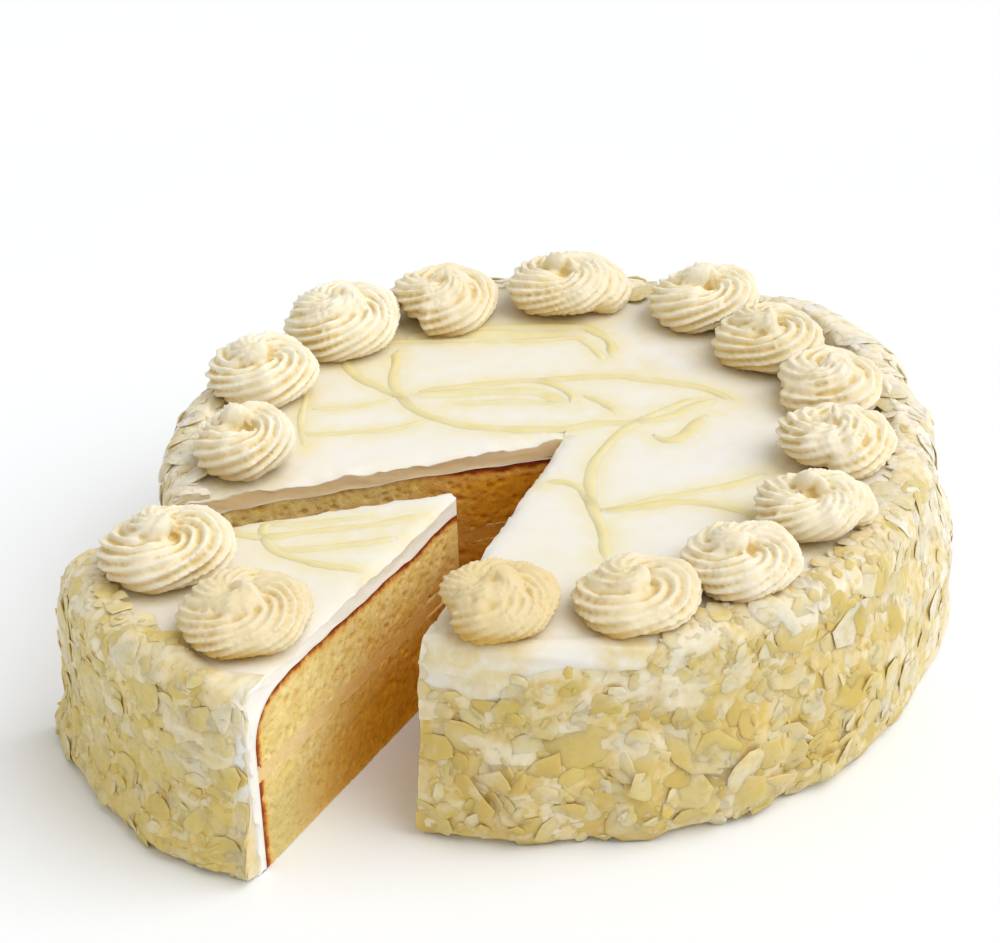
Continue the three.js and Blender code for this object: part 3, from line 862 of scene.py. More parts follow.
def coat_ground(name, cut, material, seed, slice_):
    b = Build("tone", "smear", "edge", "gold")
    a0, a1 = cut.rim_angle(cut.a0, R_ICING), cut.rim_angle(cut.a1, R_ICING)
    if a1 < a0:
        a1 += 2 * math.pi
    na = int((a1 - a0) * R_ICING / 1.12)
    ns = 62
    a = np.linspace(a0 + 0.004, a1 - 0.004, na)
    s = np.linspace(COAT_Z0, 68.0, ns)
    A, S = np.meshgrid(a, s, indexing="ij")
    fa, fs = A.ravel(), S.ravel()
    p, n = coat_surface(fa, fs, cut)
    thick, tone, edge = ground(fa, fs, seed, slice_)
    thin = bare(fa, fs, slice_)
    thick = thick * (1 - smooth01(fs, 64.5, 67.5))
    thick = np.where((S == s[0]).ravel(), 0.2, thick) - 0.6 * thin - 0.6 * smooth01(fs, 66, 68)
    v = trim(p + n * thick[:, None], cut)
    smear = np.clip(np.maximum(thin * 1.6, (0.6 if slice_ else 0.85) * smooth01(smears(fa, fs, seed, slice_), 0.10, 0.85)), 0, 1)
    top = b.points(v, tone=tone, smear=smear, edge=edge, gold=1.0 if slice_ else 0.0).reshape(na, ns)
    # the hidden back of it follows inside the icing, four times coarser
    ka, ks = np.unique(np.r_[np.arange(0, na, 4), na - 1]), np.unique(np.r_[np.arange(0, ns, 4), ns - 1])
    v2 = trim((p - n * 1.3).reshape(na, ns, 3)[np.ix_(ka, ks)].reshape(-1, 3), cut)
    low = b.points(v2, tone=0.3, smear=0.5).reshape(len(ka), len(ks))
    b.quads(top)
    b.quads(low, flip=True)

    def side(fine, coarse, at):
        out = []
        for i in range(len(coarse) - 1):
            lo, hi = at[i], at[i + 1]
            mid = (lo + hi) // 2
            out += [(coarse[i], fine[k], fine[k + 1]) for k in range(lo, mid)]
            out += [(coarse[i], fine[mid], coarse[i + 1])]
            out += [(coarse[i + 1], fine[k], fine[k + 1]) for k in range(mid, hi)]
        b.tris(out)

    side(top[:, 0], low[:, 0], ka)
    side(top[:, -1], low[:, -1], ka)
    side(top[0], low[0], ks)
    side(top[-1], low[-1], ks)
    vv, ff, aa = b.arrays(weld=False)
    return make(name, vv, ff, material, aa, [f"{'slice' if slice_ else 'main'}_shard_coat"], outward=True, crease=70)


def flake(rng, size, n, thick, big):
    """One thin broken shard: plan position, and height over its middle plane."""
    ang = np.linspace(0, 2 * math.pi, n, endpoint=False) + rng.uniform(-0.35, 0.35, n) * 2 * math.pi / n
    # a broken outline: a few straight breaks across a rounder scale
    rad = 0.92 + 0.14 * rng.random(n)
    for _ in range(int(rng.integers(2, 5))):
        brk = rng.uniform(0, 2 * math.pi)
        keep = rng.uniform(0.48, 0.86)
        c = np.cos(ang - brk)
        rad = np.where(c > 1e-3, np.minimum(rad, keep / np.maximum(c, 1e-3)), rad)
    rad = size * rad * 1.12
    stretch = rng.uniform(1.0, 1.7)
    o = np.stack([rad * np.cos(ang) * stretch ** 0.5, rad * np.sin(ang) / stretch ** 0.5], 1)
    turn = rng.uniform(0, 2 * math.pi)
    c, s = math.cos(turn), math.sin(turn)
    o = o @ np.array([[c, -s], [s, c]])
    rings = [(0.80, 0.47), (0.96, 0.26), (1.0, -0.08), (0.90, -0.45)] if big else [(0.80, 0.42), (1.0, 0.05), (0.88, -0.42)]
    pts = [np.array([[0.0, 0.0, 0.5 * thick]])]
    faces, start, prev = [], 1, None
    for share, w in rings:
        jit = 1 + rng.normal(0, 0.025, n) if share < 0.9 else np.ones(n)
        pts.append(np.concatenate([o * (share * jit)[:, None], np.full((n, 1), thick * w)], 1))
        idx = start + np.arange(n)
        nxt = np.roll(idx, -1)
        if prev is None:
            faces += [(0, i, j) for i, j in zip(idx, nxt)]
        else:
            pn = np.roll(prev, -1)
            faces += [(p, i, j) for p, i, j in zip(prev, idx, nxt)]
            faces += [(p, j, q) for p, j, q in zip(prev, nxt, pn)]
        prev = idx
        start += n
    pts.append(np.array([[0.0, 0.0, -0.5 * thick]]))
    nxt = np.roll(prev, -1)
    faces += [(start, j, i) for i, j in zip(prev, nxt)]
    return np.concatenate(pts), np.array(faces)


# the largest shards of the front: angle, height up the side, size, tone
LARGE = [(2.5, 33.0, 8.6, 0.30), (9.5, 27.0, 6.4, 0.22), (33.0, 40.0, 6.6, 0.55), (44.0, 47.0, 7.4, 0.80),
         (-8.0, 24.0, 5.6, 0.15), (19.0, 20.0, 6.2, 0.25), (57.0, 34.0, 6.4, 0.70), (70.0, 46.0, 7.0, 0.85),
         (30.0, 58.0, 6.4, 0.60), (40.0, 60.0, 6.0, 0.75)]


def coat(name, cut, seed, slot, replaces, material, slice_, count, chips):
    rng = np.random.default_rng(seed)
    a0, a1 = cut.rim_angle(cut.a0, R_ICING), cut.rim_angle(cut.a1, R_ICING)
    if a1 < a0:
        a1 += 2 * math.pi
    span = a1 - a0
    at, size, tone, kind = [], [], [], []
    for number, big in ((count, True), (chips, False)):
        # one to a cell, so that the cover is even
        cols = max(int(math.sqrt(number * span * R_ICING / 64.0)), 2)
        rows = max(int(math.ceil(number / cols)), 2)
        i, j = np.meshgrid(np.arange(cols), np.arange(rows), indexing="ij")
        i, j = i.ravel(), j.ravel()
        a = a0 + span * (i + rng.random(len(i))) / cols
        s = COAT_Z0 + 1.0 + 64.0 * (j + rng.random(len(j))) / rows
        b_ = bare(a, s, slice_)
        keep = (rng.random(len(a)) > b_ * 1.5) | (rng.random(len(a)) < 0.05 * (s < 57))
        a, s = a[keep], s[keep]
        z = np.clip(rng.lognormal(math.log(3.45), 0.45, len(a)), 1.7, 8.0) if big else np.clip(
            rng.lognormal(math.log(1.45), 0.40, len(a)), 0.7, 2.8)
        order = rng.permutation(len(a))
        at += list(zip(a[order], s[order]))
        size += list(z[order])
        tone += list(np.clip(0.05 + 0.62 * rng.random(len(a)) + paler_and_lit(a, s)[order] * 0.9, 0, 1))
        kind += [big] * len(a)
    if not slice_:
        for deg, up, r, t in LARGE:
            at.append((math.radians(deg), up))
            size.append(r)
            tone.append(t)
            kind.append(True)
    at = np.array(at)
    size = np.array(size)
    at[:, 1] = np.maximum(at[:, 1], COAT_Z0 + size * 0.80)
    rise = ground(at[:, 0], at[:, 1], seed, slice_)[0]
    heaped = pile(at[:, 0], at[:, 1], slice_)
    over = smears(at[:, 0], at[:, 1], seed, slice_)
    rise = rise - heaped - 0.30 * over * (rng.random(len(at)) > 0.25)
    turn = np.degrees(at[:, 0])
    loose = 0.35 + 0.30 * smooth01(turn, 20, 90) * (1 - smooth01(turn, 190, 250)) if not slice_ else np.full(len(at), 0.4)
    # round on the right they lie flatter
    grazed = smooth01(turn, 42, 68) * (1 - smooth01(turn, 125, 160)) * (0.0 if slice_ else 1.0)
    U, V, W, A, S, F, T, Z, E, base = [], [], [], [], [], [], [], [], [], 0
    for k, (a, s) in enumerate(at):
        big = kind[k]
        thick = (rng.uniform(0.38, 0.72) if big else rng.uniform(0.4, 0.7)) * (1 - 0.30 * grazed[k])
        v, f = flake(rng, size[k], int(rng.integers(9, 13)) if big else int(rng.integers(5, 7)), thick, big)
        lean = ((0.05 + 0.07 * loose[k] if big else 0.16) + 0.022 * heaped[k]) * (1 - 0.5 * grazed[k])
        tx, ty = rng.normal(0, lean), rng.normal(0.02, lean)
        curl = rng.normal(0.006, 0.010)
        lift = rng.uniform(-0.46, 0.02 + 0.24 * loose[k]) - 0.12 * grazed[k]
        h = v[:, 2] + tx * v[:, 0] + ty * v[:, 1] - curl * (v[:, 0] ** 2 + v[:, 1] ** 2) * 0.5 + lift
        U.append(v[:, 0]); V.append(v[:, 1]); W.append(h)
        A.append(np.full(len(v), a)); S.append(np.full(len(v), s)); Z.append(np.full(len(v), rise[k]))
        T.append(np.full(len(v), tone[k]))
        # painted shade towards each shard's rim
        E.append(smooth01(np.hypot(v[:, 0], v[:, 1]) / size[k], 0.45, 0.95))
        F.append(np.concatenate([f + base, np.full((len(f), 1), -1)], 1))
        base += len(v)
    U, V, W, A, S, T, Z, E = (np.concatenate(x) for x in (U, V, W, A, S, T, Z, E))
    # pressed on: mostly bent along the icing, partly stiff
    p0, n0 = coat_surface(A, S, cut)
    d = heading(A)
    t1 = np.stack([-d[:, 1], d[:, 0], 0 * A], 1)
    t2 = np.cross(n0, t1)
    sign = np.where((t1[:, 0] * np.cos(A) + t1[:, 1] * np.sin(A)) > 0, 1.0, -1.0)
    t1 = t1 * sign[:, None]
    t2 = np.where(t2[:, 2:] < 0, -t2, t2)
    la, ls = A + U / R_ICING, np.maximum(S + V, 0.3)
    slope = pile(la, ls, slice_)
    stiff = p0 + t1 * U[:, None] + t2 * V[:, None] + n0 * (Z + slope + W)[:, None]
    here = ground(la, ls, seed, slice_)[0] - slope
    p1, n1 = coat_surface(la, ls, cut)
    bent = p1 + n1 * (0.6 * Z + 0.4 * here + slope + W)[:, None]
    v = 0.25 * stiff + 0.75 * bent
    v = trim(v, cut)
    # off the table and inside the coat's outline
    rel = v[:, :2] - cut.o
    r = np.linalg.norm(rel, axis=1)
    scale = np.where(r > R_ICING + 9.8, (R_ICING + 9.8) / r, 1.0)
    v[:, :2] = cut.o + rel * scale[:, None]
    v[:, 2] = np.clip(v[:, 2], 0.1, 68.0)
    smear = (0.36 if slice_ else 0.70) * smears(la, ls, seed, slice_) * (0.35 + 0.65 * hash01(np.floor(A * 999), np.floor(S * 99), 0 * A, seed))
    return make(name, v, np.concatenate(F), material, {"tone": T, "smear": smear, "edge": E, "gold": np.full(len(v), 1.0 if slice_ else 0.0)}, replaces, outward=True, crease=48)


# -------------------------------------------------------------------- drizzle
DRIZZLE = {
    # control points on the flat top, strand width in mm, height in mm
    "back1": ([(-45.8, 69.5), (-34.6, 74.0), (-15.2, 75.2), (4.3, 75.6), (12.0, 74.5), (17.0, 69.1), (20.3, 61.8), (20.7, 52.0)], 4.2, 1.0),
    "back2": ([(-56.3, 66.5), (-47.3, 67.5), (-31.2, 66.6), (-8.7, 65.5), (8.3, 66.7), (13.0, 62.2), (16.0, 56.4), (18.1, 50.0)], 3.4, 0.9),
    "back3": ([(-40.7, 71.4), (-24.9, 71.3), (-5.5, 70.3), (10.6, 70.9)], 6.0, 0.45),
    "oval": ([(-47.4, 61.1), (-48.4, 47.2), (-47.7, 37.0), (-45.1, 28.9), (-39.9, 19.5), (-31.1, 12.0), (-22.3, 7.8), (-9.7, 6.0), (-1.2, 6.2), (4.8, 5.9), (15.0, 8.6), (25.3, 9.3), (35.7, 12.6), (44.2, 18.6), (51.5, 23.5)], 4.0, 0.9),
    "left1": ([(-66.1, 57.8), (-64.2, 52.8), (-58.9, 42.9), (-51.6, 34.5), (-45.1, 28.2), (-41.8, 21.5)], 3.6, 0.9),
    "mid1": ([(-40.3, 32.6), (-31.7, 34.2), (-18.4, 36.9), (-5.3, 38.2), (3.4, 33.8), (7.6, 26.9), (6.9, 22.4)], 3.6, 0.9),
    "mid2": ([(-44.6, 29.5), (-33.5, 30.3), (-18.3, 31.5), (-5.3, 30.9), (2.3, 25.9), (7.2, 23.0)], 5.5, 0.55),
    "mid3": ([(-30.2, 23.6), (-17.9, 24.3), (-5.7, 24.3), (3.5, 21.9)], 4.0, 0.4),
    "right1": ([(-5.3, 38.2), (3.4, 38.5), (12.2, 39.4), (22.4, 39.5), (28.6, 37.2), (38.6, 34.0), (48.9, 29.5), (56.8, 20.6)], 3.8, 0.9),
    "right2": ([(10.6, 26.8), (15.8, 23.3), (19.3, 18.6), (20.7, 15.3)], 3.4, 1.0),
    "leaf": ([(30.7, 1.6), (32.9, -1.0), (35.8, -2.4), (40.1, 0.5), (44.1, 7.2), (47.5, 12.7)], 4.8, 1.1),
    "ring": ([(46.4, 23.7), (40.0, 20.1), (32.1, 14.1), (24.0, 6.2), (17.7, -3.4), (13.5, -13.5), (11.8, -23.5), (11.3, -35.0), (12.7, -43.5), (14.2, -51.9), (14.8, -61.1), (14.8, -70.1)], 3.8, 0.9),
    "near1": ([(-2.4, -25.2), (4.2, -26.6), (8.5, -30.3), (10.9, -36.7), (13.3, -42.4)], 3.4, 0.9),
    "near2": ([(13.4, -41.9), (17.6, -42.1), (25.4, -39.0), (33.2, -36.0), (42.9, -32.4), (52.9, -28.8), (63.1, -23.5)], 3.0, 0.8),
    "near3": ([(13.3, -43.0), (21.0, -42.2), (28.1, -40.8), (34.8, -38.9), (42.4, -39.2), (51.8, -43.6), (60.1, -48.9), (66.5, -54.7)], 3.8, 0.9),
    "left2": ([(-75.6, 6.6), (-69.0, 6.3), (-60.6, 7.1), (-52.1, 7.3), (-43.8, 9.5), (-36.9, 13.6)], 3.0, 0.7),
    "left3": ([(-72.5, 22.4), (-61.5, 23.1), (-53.0, 25.3), (-45.8, 28.9)], 2.8, 0.6),
    "left4": ([(-76.7, 54.2), (-76.4, 41.8), (-75.0, 31.0), (-75.1, 15.4), (-72.6, -2.2)], 3.0, 0.6),
}
SLICE_DRIZZLE = {
    "cut1": ([(-93.3, -44.5), (-88.8, -50.2), (-80.7, -52.7), (-72.9, -51.4), (-65.1, -50.1), (-53.1, -48.4), (-45.2, -46.6), (-36.0, -43.0)], 3.6, 0.9),
    "cut2": ([(-80.0, -41.6), (-81.0, -49.4), (-77.6, -58.8), (-71.9, -64.4), (-63.9, -68.4), (-55.7, -70.8), (-50.9, -73.1)], 3.4, 0.9),
    "cut3": ([(-76.8, -59.4), (-70.0, -60.2), (-64.5, -59.4), (-56.5, -58.1), (-48.7, -56.8), (-43.0, -54.3)], 3.4, 0.8),
    "cut4": ([(-81.0, -44.5), (-73.9, -46.4), (-62.6, -45.2), (-51.4, -43.0)], 3.0, 0.5),
}


def through(points, step=1.0):
    """Points on a smooth curve through the control points (Catmull-Rom)."""
    p = np.array(points, float)
    p = np.concatenate([[2 * p[0] - p[1]], p, [2 * p[-1] - p[-2]]])
    out = []
    for i in range(1, len(p) - 2):
        n = max(int(np.linalg.norm(p[i + 1] - p[i]) / step), 2)
        t = np.linspace(0, 1, n, endpoint=False)[:, None]
        a, b, c, d = p[i - 1], p[i], p[i + 1], p[i + 2]
        out.append(0.5 * ((2 * b) + (c - a) * t + (2 * a - 5 * b + 4 * c - d) * t ** 2 + (3 * b - a - 3 * c + d) * t ** 3))
    out.append(p[-2][None])
    return np.concatenate(out)


def drizzle(name, strands, material, seed, cut, broad=1.0, tall=1.0, step=1.3):
    b = Build("thick", "mid")
    for k, (key, (pts, width, height)) in enumerate(sorted(strands.items())):
        c = through(pts, step)
        n = len(c)
        tan = np.gradient(c, axis=0)
        tan /= np.maximum(np.linalg.norm(tan, axis=1, keepdims=True), 1e-9)
        side = np.stack([-tan[:, 1], tan[:, 0]], 1)
        s = np.concatenate([[0], np.cumsum(np.linalg.norm(np.diff(c, axis=0), axis=1))])
        q = np.stack([s, np.full(n, 7.0 * k), np.full(n, float(seed))], 1)
        w = 0.5 * 0.95 * broad * width * (1 + 0.30 * vnoise(q, 9.0, seed) + 0.14 * vnoise(q, 3.0, seed + 1))
        h = height * (1 + 0.30 * vnoise(q, 7.0, seed + 2))
        end = smooth01(np.minimum(s, s[-1] - s) / (1.3 * width) + 0.10, 0, 1.1)
        w, h = w * (0.45 + 0.55 * end) * np.sqrt(np.clip(end * 5, 0, 1)), 0.60 * tall * h * (0.15 + 0.85 * end)
        c = c + side * (0.5 * vnoise(q, 14.0, seed + 4))[:, None]
        across = np.linspace(-1, 1, 11)
        rows = []
        z_top = H_ICING + strokes(c)
        for j, x in enumerate(across):
            lift = h * (1 - x * x) ** 1.1
            xy = c + side * (w * x)[:, None]
            z = H_ICING + strokes(xy) - 1.15 * knifed(xy, cut) + lift - 0.07
            rows.append(np.concatenate([xy, z[:, None]], 1))
        low = []
        for x in across[::-1][1:-1]:
            xy = c + side * (w * x * 0.9)[:, None]
            low.append(np.concatenate([xy, (H_ICING + strokes(xy) - 1.15 * knifed(xy, cut) - 0.5)[:, None]], 1))
        g = np.stack(rows + low, 0)
        g = trim(g.reshape(-1, 3), cut, 0.25).reshape(g.shape)
        mid = np.repeat(np.concatenate([1 - across ** 2, np.zeros(len(low))])[:, None], n, 1) * end[None]
        ids = b.points(g, thick=np.tile(h[None], (g.shape[0], 1)).ravel(), mid=mid.ravel()).reshape(g.shape[0], n)
        loop = np.concatenate([ids, ids[:1]], 0)
        b.quads(loop, flip=True)
        for end_i in (0, -1):
            centre = b.points(g[:, end_i].mean(0), thick=0.2, mid=0.0)[0]
            ring = ids[:, end_i]
            b.tris([(centre, ring[i], ring[(i + 1) % len(ring)]) for i in range(len(ring))], flip=(end_i == 0))
    v, f, a = b.arrays(weld=False)
    return make(name, v, f, material, a, outward=True)


# ------------------------------------------------------------------ materials
def lin(r, g, b):
    """Linear colour from the 0-255 numbers of a picture."""
    f = lambda c: c / 12.92 if c <= 0.04045 else ((c + 0.055) / 1.055) ** 2.4
    return tuple(f(x / 255.0) for x in (r, g, b)) + (1.0,)


class Mat:
    def __init__(self, name, roughness=0.5, specular=0.4, sss=0.0, radius=(0.003, 0.002, 0.001), scale=1.0,
                 sheen=0.0, coat=0.0):
        self.m = bpy.data.materials.new(name)
        self.m.use_nodes = True
        self.t = self.m.node_tree
        self.t.nodes.clear()
        self.out = self.t.nodes.new("ShaderNodeOutputMaterial")
        self.b = self.t.nodes.new("ShaderNodeBsdfPrincipled")
        self.t.links.new(self.b.outputs[0], self.out.inputs[0])
        self.b.inputs["Roughness"].default_value = roughness
        self.b.inputs["Specular IOR Level"].default_value = specular
        self.b.inputs["Subsurface Weight"].default_value = sss
        self.b.inputs["Subsurface Radius"].default_value = radius
        self.b.inputs["Subsurface Scale"].default_value = scale
        self.b.inputs["Sheen Weight"].default_value = sheen
        self.b.inputs["Coat Weight"].default_value = coat
        self.co = self.t.nodes.new("ShaderNodeTexCoord").outputs["Object"]

    def link(self, a, b):
        self.t.links.new(a, b)

    def noise(self, mm, detail=3.0, rough=0.55, stretch=None, distortion=0.0):
        n = self.t.nodes.new("ShaderNodeTexNoise")
        n.inputs["Scale"].default_value = 1000.0 / mm
        n.inputs["Detail"].default_value = detail
        n.inputs["Roughness"].default_value = rough
        n.inputs["Distortion"].default_value = distortion
        co = self.co
        if stretch:
            m = self.t.nodes.new("ShaderNodeMapping")
            m.inputs["Scale"].default_value = stretch
            self.link(co, m.inputs["Vector"])
            co = m.outputs[0]
        self.link(co, n.inputs["Vector"])
        return n.outputs["Fac"]

    def cells(self, mm, feature="F1", rnd=1.0):
        n = self.t.nodes.new("ShaderNodeTexVoronoi")
        n.feature = feature
        n.inputs["Scale"].default_value = 1000.0 / mm
        n.inputs["Randomness"].default_value = rnd
        self.link(self.co, n.inputs["Vector"])
        return n.outputs["Distance"]

    def attr(self, name):
        n = self.t.nodes.new("ShaderNodeAttribute")
        n.attribute_type = "GEOMETRY"
        n.attribute_name = name
        return n.outputs["Fac"]

    def math(self, op, a, b=None, clamp=False):
        n = self.t.nodes.new("ShaderNodeMath")
        n.operation = op
        n.use_clamp = clamp
        for i, x in enumerate((a, b)):
            if x is None:
                continue
            if isinstance(x, (int, float)):
                n.inputs[i].default_value = x
            else:
                self.link(x, n.inputs[i])
        return n.outputs[0]

    def ramp(self, fac, stops, mode="LINEAR"):
        n = self.t.nodes.new("ShaderNodeValToRGB")
        n.color_ramp.interpolation = mode
        el = n.color_ramp.elements
        while len(el) > 1:
            el.remove(el[-1])
        el[0].position, el[0].color = stops[0]
        for pos, col in stops[1:]:
            e = el.new(pos)
            e.color = col
        self.link(fac, n.inputs["Fac"])
        return n.outputs["Color"]

    def span(self, fac, lo, hi, a=0.0, b=1.0, smooth=False):
        n = self.t.nodes.new("ShaderNodeMapRange")
        if smooth:
            n.interpolation_type = "SMOOTHSTEP"
        n.inputs["From Min"].default_value = lo
        n.inputs["From Max"].default_value = hi
        n.inputs["To Min"].default_value = a
        n.inputs["To Max"].default_value = b
        self.link(fac, n.inputs["Value"])
        return n.outputs["Result"]

    def mix(self, fac, a, b, blend="MIX"):
        n = self.t.nodes.new("ShaderNodeMix")
        n.data_type = "RGBA"
        n.blend_type = blend
        n.clamp_factor = True
        for sock, x in ((n.inputs[0], fac), (n.inputs[6], a), (n.inputs[7], b)):
            if isinstance(x, (int, float)):
                sock.default_value = x
            elif isinstance(x, tuple):
                sock.default_value = x
            else:
                self.link(x, sock)
        return n.outputs[2]

    def colour(self, c):
        self.link(c, self.b.inputs["Base Color"])

    def rough(self, r):
        self.link(r, self.b.inputs["Roughness"])

    def bump(self, height, mm, strength=1.0, after=None):
        n = self.t.nodes.new("ShaderNodeBump")
        n.inputs["Distance"].default_value = mm * 0.001
        n.inputs["Strength"].default_value = strength
        self.link(height, n.inputs["Height"])
        if after is not None:
            self.link(after, n.inputs["Normal"])
        self.link(n.outputs[0], self.b.inputs["Normal"])
        return n.outputs[0]


def icing_material():
    m = Mat("icing_white", roughness=0.48, specular=0.30, sss=0.20, radius=(1.0, 0.85, 0.65), scale=0.0030)
    broad, fine = m.noise(38, 2), m.noise(6, 3)
    c = m.mix(m.span(broad, 0.35, 0.65), lin(241, 240, 237), lin(240, 237, 226))
    c = m.mix(m.span(fine, 0.46, 0.75, 0, 0.40), c, lin(239, 230, 206))
    # stain from cream and shards, with painted shadow beside the rosettes
    stain_and_shadow_tint = m.math("MULTIPLY", m.attr("stain"), m.span(m.noise(3.5, 3), 0.30, 0.60, 0.35, 1.0))
    c = m.mix(m.math("MULTIPLY", m.attr("wash"), m.span(m.noise(5, 3), 0.30, 0.62, 0.40, 1.00)), c, lin(239, 229, 184))
    c = m.mix(m.math("MULTIPLY", stain_and_shadow_tint, 0.85), c, lin(228, 210, 150))
    # a cut face is creamier, with a little sponge colour dragged into it; on the main cake's cut, which lies in the
    # slice's shade, this is partly painted shade
    cut = m.attr("cutface")
    c = m.mix(m.math("MULTIPLY", cut, 0.70), c, lin(238, 209, 150))
    smear = m.math("MULTIPLY", cut, m.span(m.noise(4, 3, stretch=(1, 1, 2.2)), 0.45, 0.7), clamp=True)
    c = m.mix(m.math("MULTIPLY", smear, 0.45), c, lin(236, 202, 144))
    # painted light: the slice's cut face of icing is brightened to match its top
    c = m.mix(m.math("MULTIPLY", m.attr("bright"), m.span(m.noise(5, 2), 0.3, 0.6, 0.65, 0.95)), c, lin(254, 252, 243))
    m.colour(c)
    m.rough(m.span(m.noise(9, 2), 0.3, 0.7, 0.40, 0.58))
    pits = m.span(m.cells(1.3), 0.0, 0.22, 0, 1)
    h = m.math("ADD", m.math("MULTIPLY", m.noise(2.2, 3), 0.6), m.math("MULTIPLY", pits, 0.25))
    m.bump(h, 0.10, 0.55)
    return m.m


def drizzle_material():
    m = Mat("drizzle_pale", roughness=0.34, specular=0.40, sss=0.20, radius=(1.0, 0.85, 0.5), scale=0.0025)
    c = m.mix(m.span(m.noise(7, 2), 0.35, 0.65), lin(243, 233, 190), lin(239, 225, 168))
    c = m.mix(m.span(m.attr("thick"), 0.30, 0.75, 0, 0.6), c, lin(233, 215, 146))
    c = m.mix(m.span(m.attr("mid"), 0.0, 0.55, 0, 1, smooth=True), lin(240, 233, 208), c)
    m.colour(c)
    m.rough(m.span(m.noise(4, 2), 0.3, 0.7, 0.28, 0.44))
    m.bump(m.noise(1.6, 2), 0.05, 0.4)
    return m.m


def rosette_material():
    m = Mat("piped_cream", roughness=0.52, specular=0.25, sss=0.22, radius=(1.0, 0.80, 0.52), scale=0.0022)
    c = m.mix(m.span(m.noise(13, 2), 0.35, 0.65), lin(248, 243, 225), lin(246, 237, 206))
    # painted shade: grooves tinted darker ochre, ridges given a painted highlight
    hollow = m.attr("hollow")
    c = m.mix(m.span(hollow, 0.02, 0.60, 0, 0.78, smooth=True), c, lin(216, 184, 98))
    c = m.mix(m.span(hollow, -0.12, -0.60, 0, 0.7, smooth=True), c, lin(250, 247, 236))
    # per rosette: partly a yellower cream, partly painted shade on the rosettes at the shaded front
    c = m.mix(m.math("MULTIPLY", m.attr("warm"), 0.46), c, lin(220, 194, 126))
    # painted shade on the sides turned away from the key light, heavier on rosettes with more tint
    strength = m.math("ADD", m.math("MULTIPLY", m.attr("warm"), 0.75), 0.45)
    c = m.mix(m.math("MULTIPLY", m.attr("shade"), strength, clamp=True), c, lin(212, 174, 84))
    # uneven: some folds are yellower at random, and more so low down, where it is painted shade
    yellow_blotch_and_low_shade = m.math("MULTIPLY", m.span(m.noise(5.5, 3), 0.48, 0.72), m.math("ADD", m.math("MULTIPLY", m.attr("low"), 0.8), 0.35), clamp=True)
    c = m.mix(m.math("MULTIPLY", yellow_blotch_and_low_shade, 0.6), c, lin(224, 194, 118))
    m.colour(c)
    m.rough(m.span(m.noise(5, 2), 0.3, 0.7, 0.42, 0.60))
    h = m.math("ADD", m.noise(1.5, 3), m.math("MULTIPLY", m.span(m.cells(0.9), 0, 0.25), 0.3))
    m.bump(h, 0.10, 0.5)
    return m.m


def shard_material():
    m = Mat("thin_shards", roughness=0.50, specular=0.28, sss=0.30, radius=(1.0, 0.85, 0.55), scale=0.0022)
    tone = m.attr("tone")
    # tone: random shard colour, whiter near the rim, and partly painted light round the right and back
    c = m.ramp(tone, [(0.0, lin(212, 180, 102)), (0.25, lin(218, 189, 112)), (0.5, lin(227, 207, 152)),
                      (0.8, lin(241, 231, 205)), (1.0, lin(250, 245, 231))])
    yellow = m.math("MULTIPLY", m.span(m.noise(9, 3), 0.42, 0.68, 0, 0.45), m.span(tone, 0.4, 1.0, 1.0, 0.35))
    c = m.mix(yellow, c, lin(224, 200, 96))
    c = m.mix(m.math("MULTIPLY", m.attr("gold"), m.span(m.noise(6, 2), 0.35, 0.65, 0.10, 0.50)), c, lin(238, 212, 116))
    # icing squeezed up between the shards
    c = m.mix(m.span(m.noise(8.5, 3, 0.5), 0.52, 0.68, 0, 0.45), c, lin(234, 225, 204))
    c = m.mix(m.span(m.noise(2.2, 3), 0.52, 0.72, 0, 0.38), c, lin(206, 178, 88))
    # dark specks: painted shade in small gaps between the shards
    gap_shade_specks = m.span(m.noise(2.4, 2, 0.5), 0.745, 0.80, 0, 0.55)
    # painted shade at the shards' rims and in the gaps between them
    c = m.mix(m.math("MULTIPLY", m.attr("edge"), m.span(m.noise(3.0, 2), 0.42, 0.62, 0.0, 0.50)), c, lin(211, 187, 106))
    c = m.mix(gap_shade_specks, c, lin(150, 106, 46))
    c = m.mix(m.math("MULTIPLY", m.attr("smear"), m.span(m.noise(3.2, 3), 0.30, 0.60, 0.55, 1.0)), c,
              m.mix(m.span(m.noise(7, 2), 0.4, 0.6), lin(242, 235, 214), lin(232, 221, 188)))
    m.colour(c)
    m.rough(m.span(m.noise(3, 2), 0.3, 0.7, 0.38, 0.56))
    m.bump(m.noise(1.1, 3), 0.12, 0.6)
    return m.m


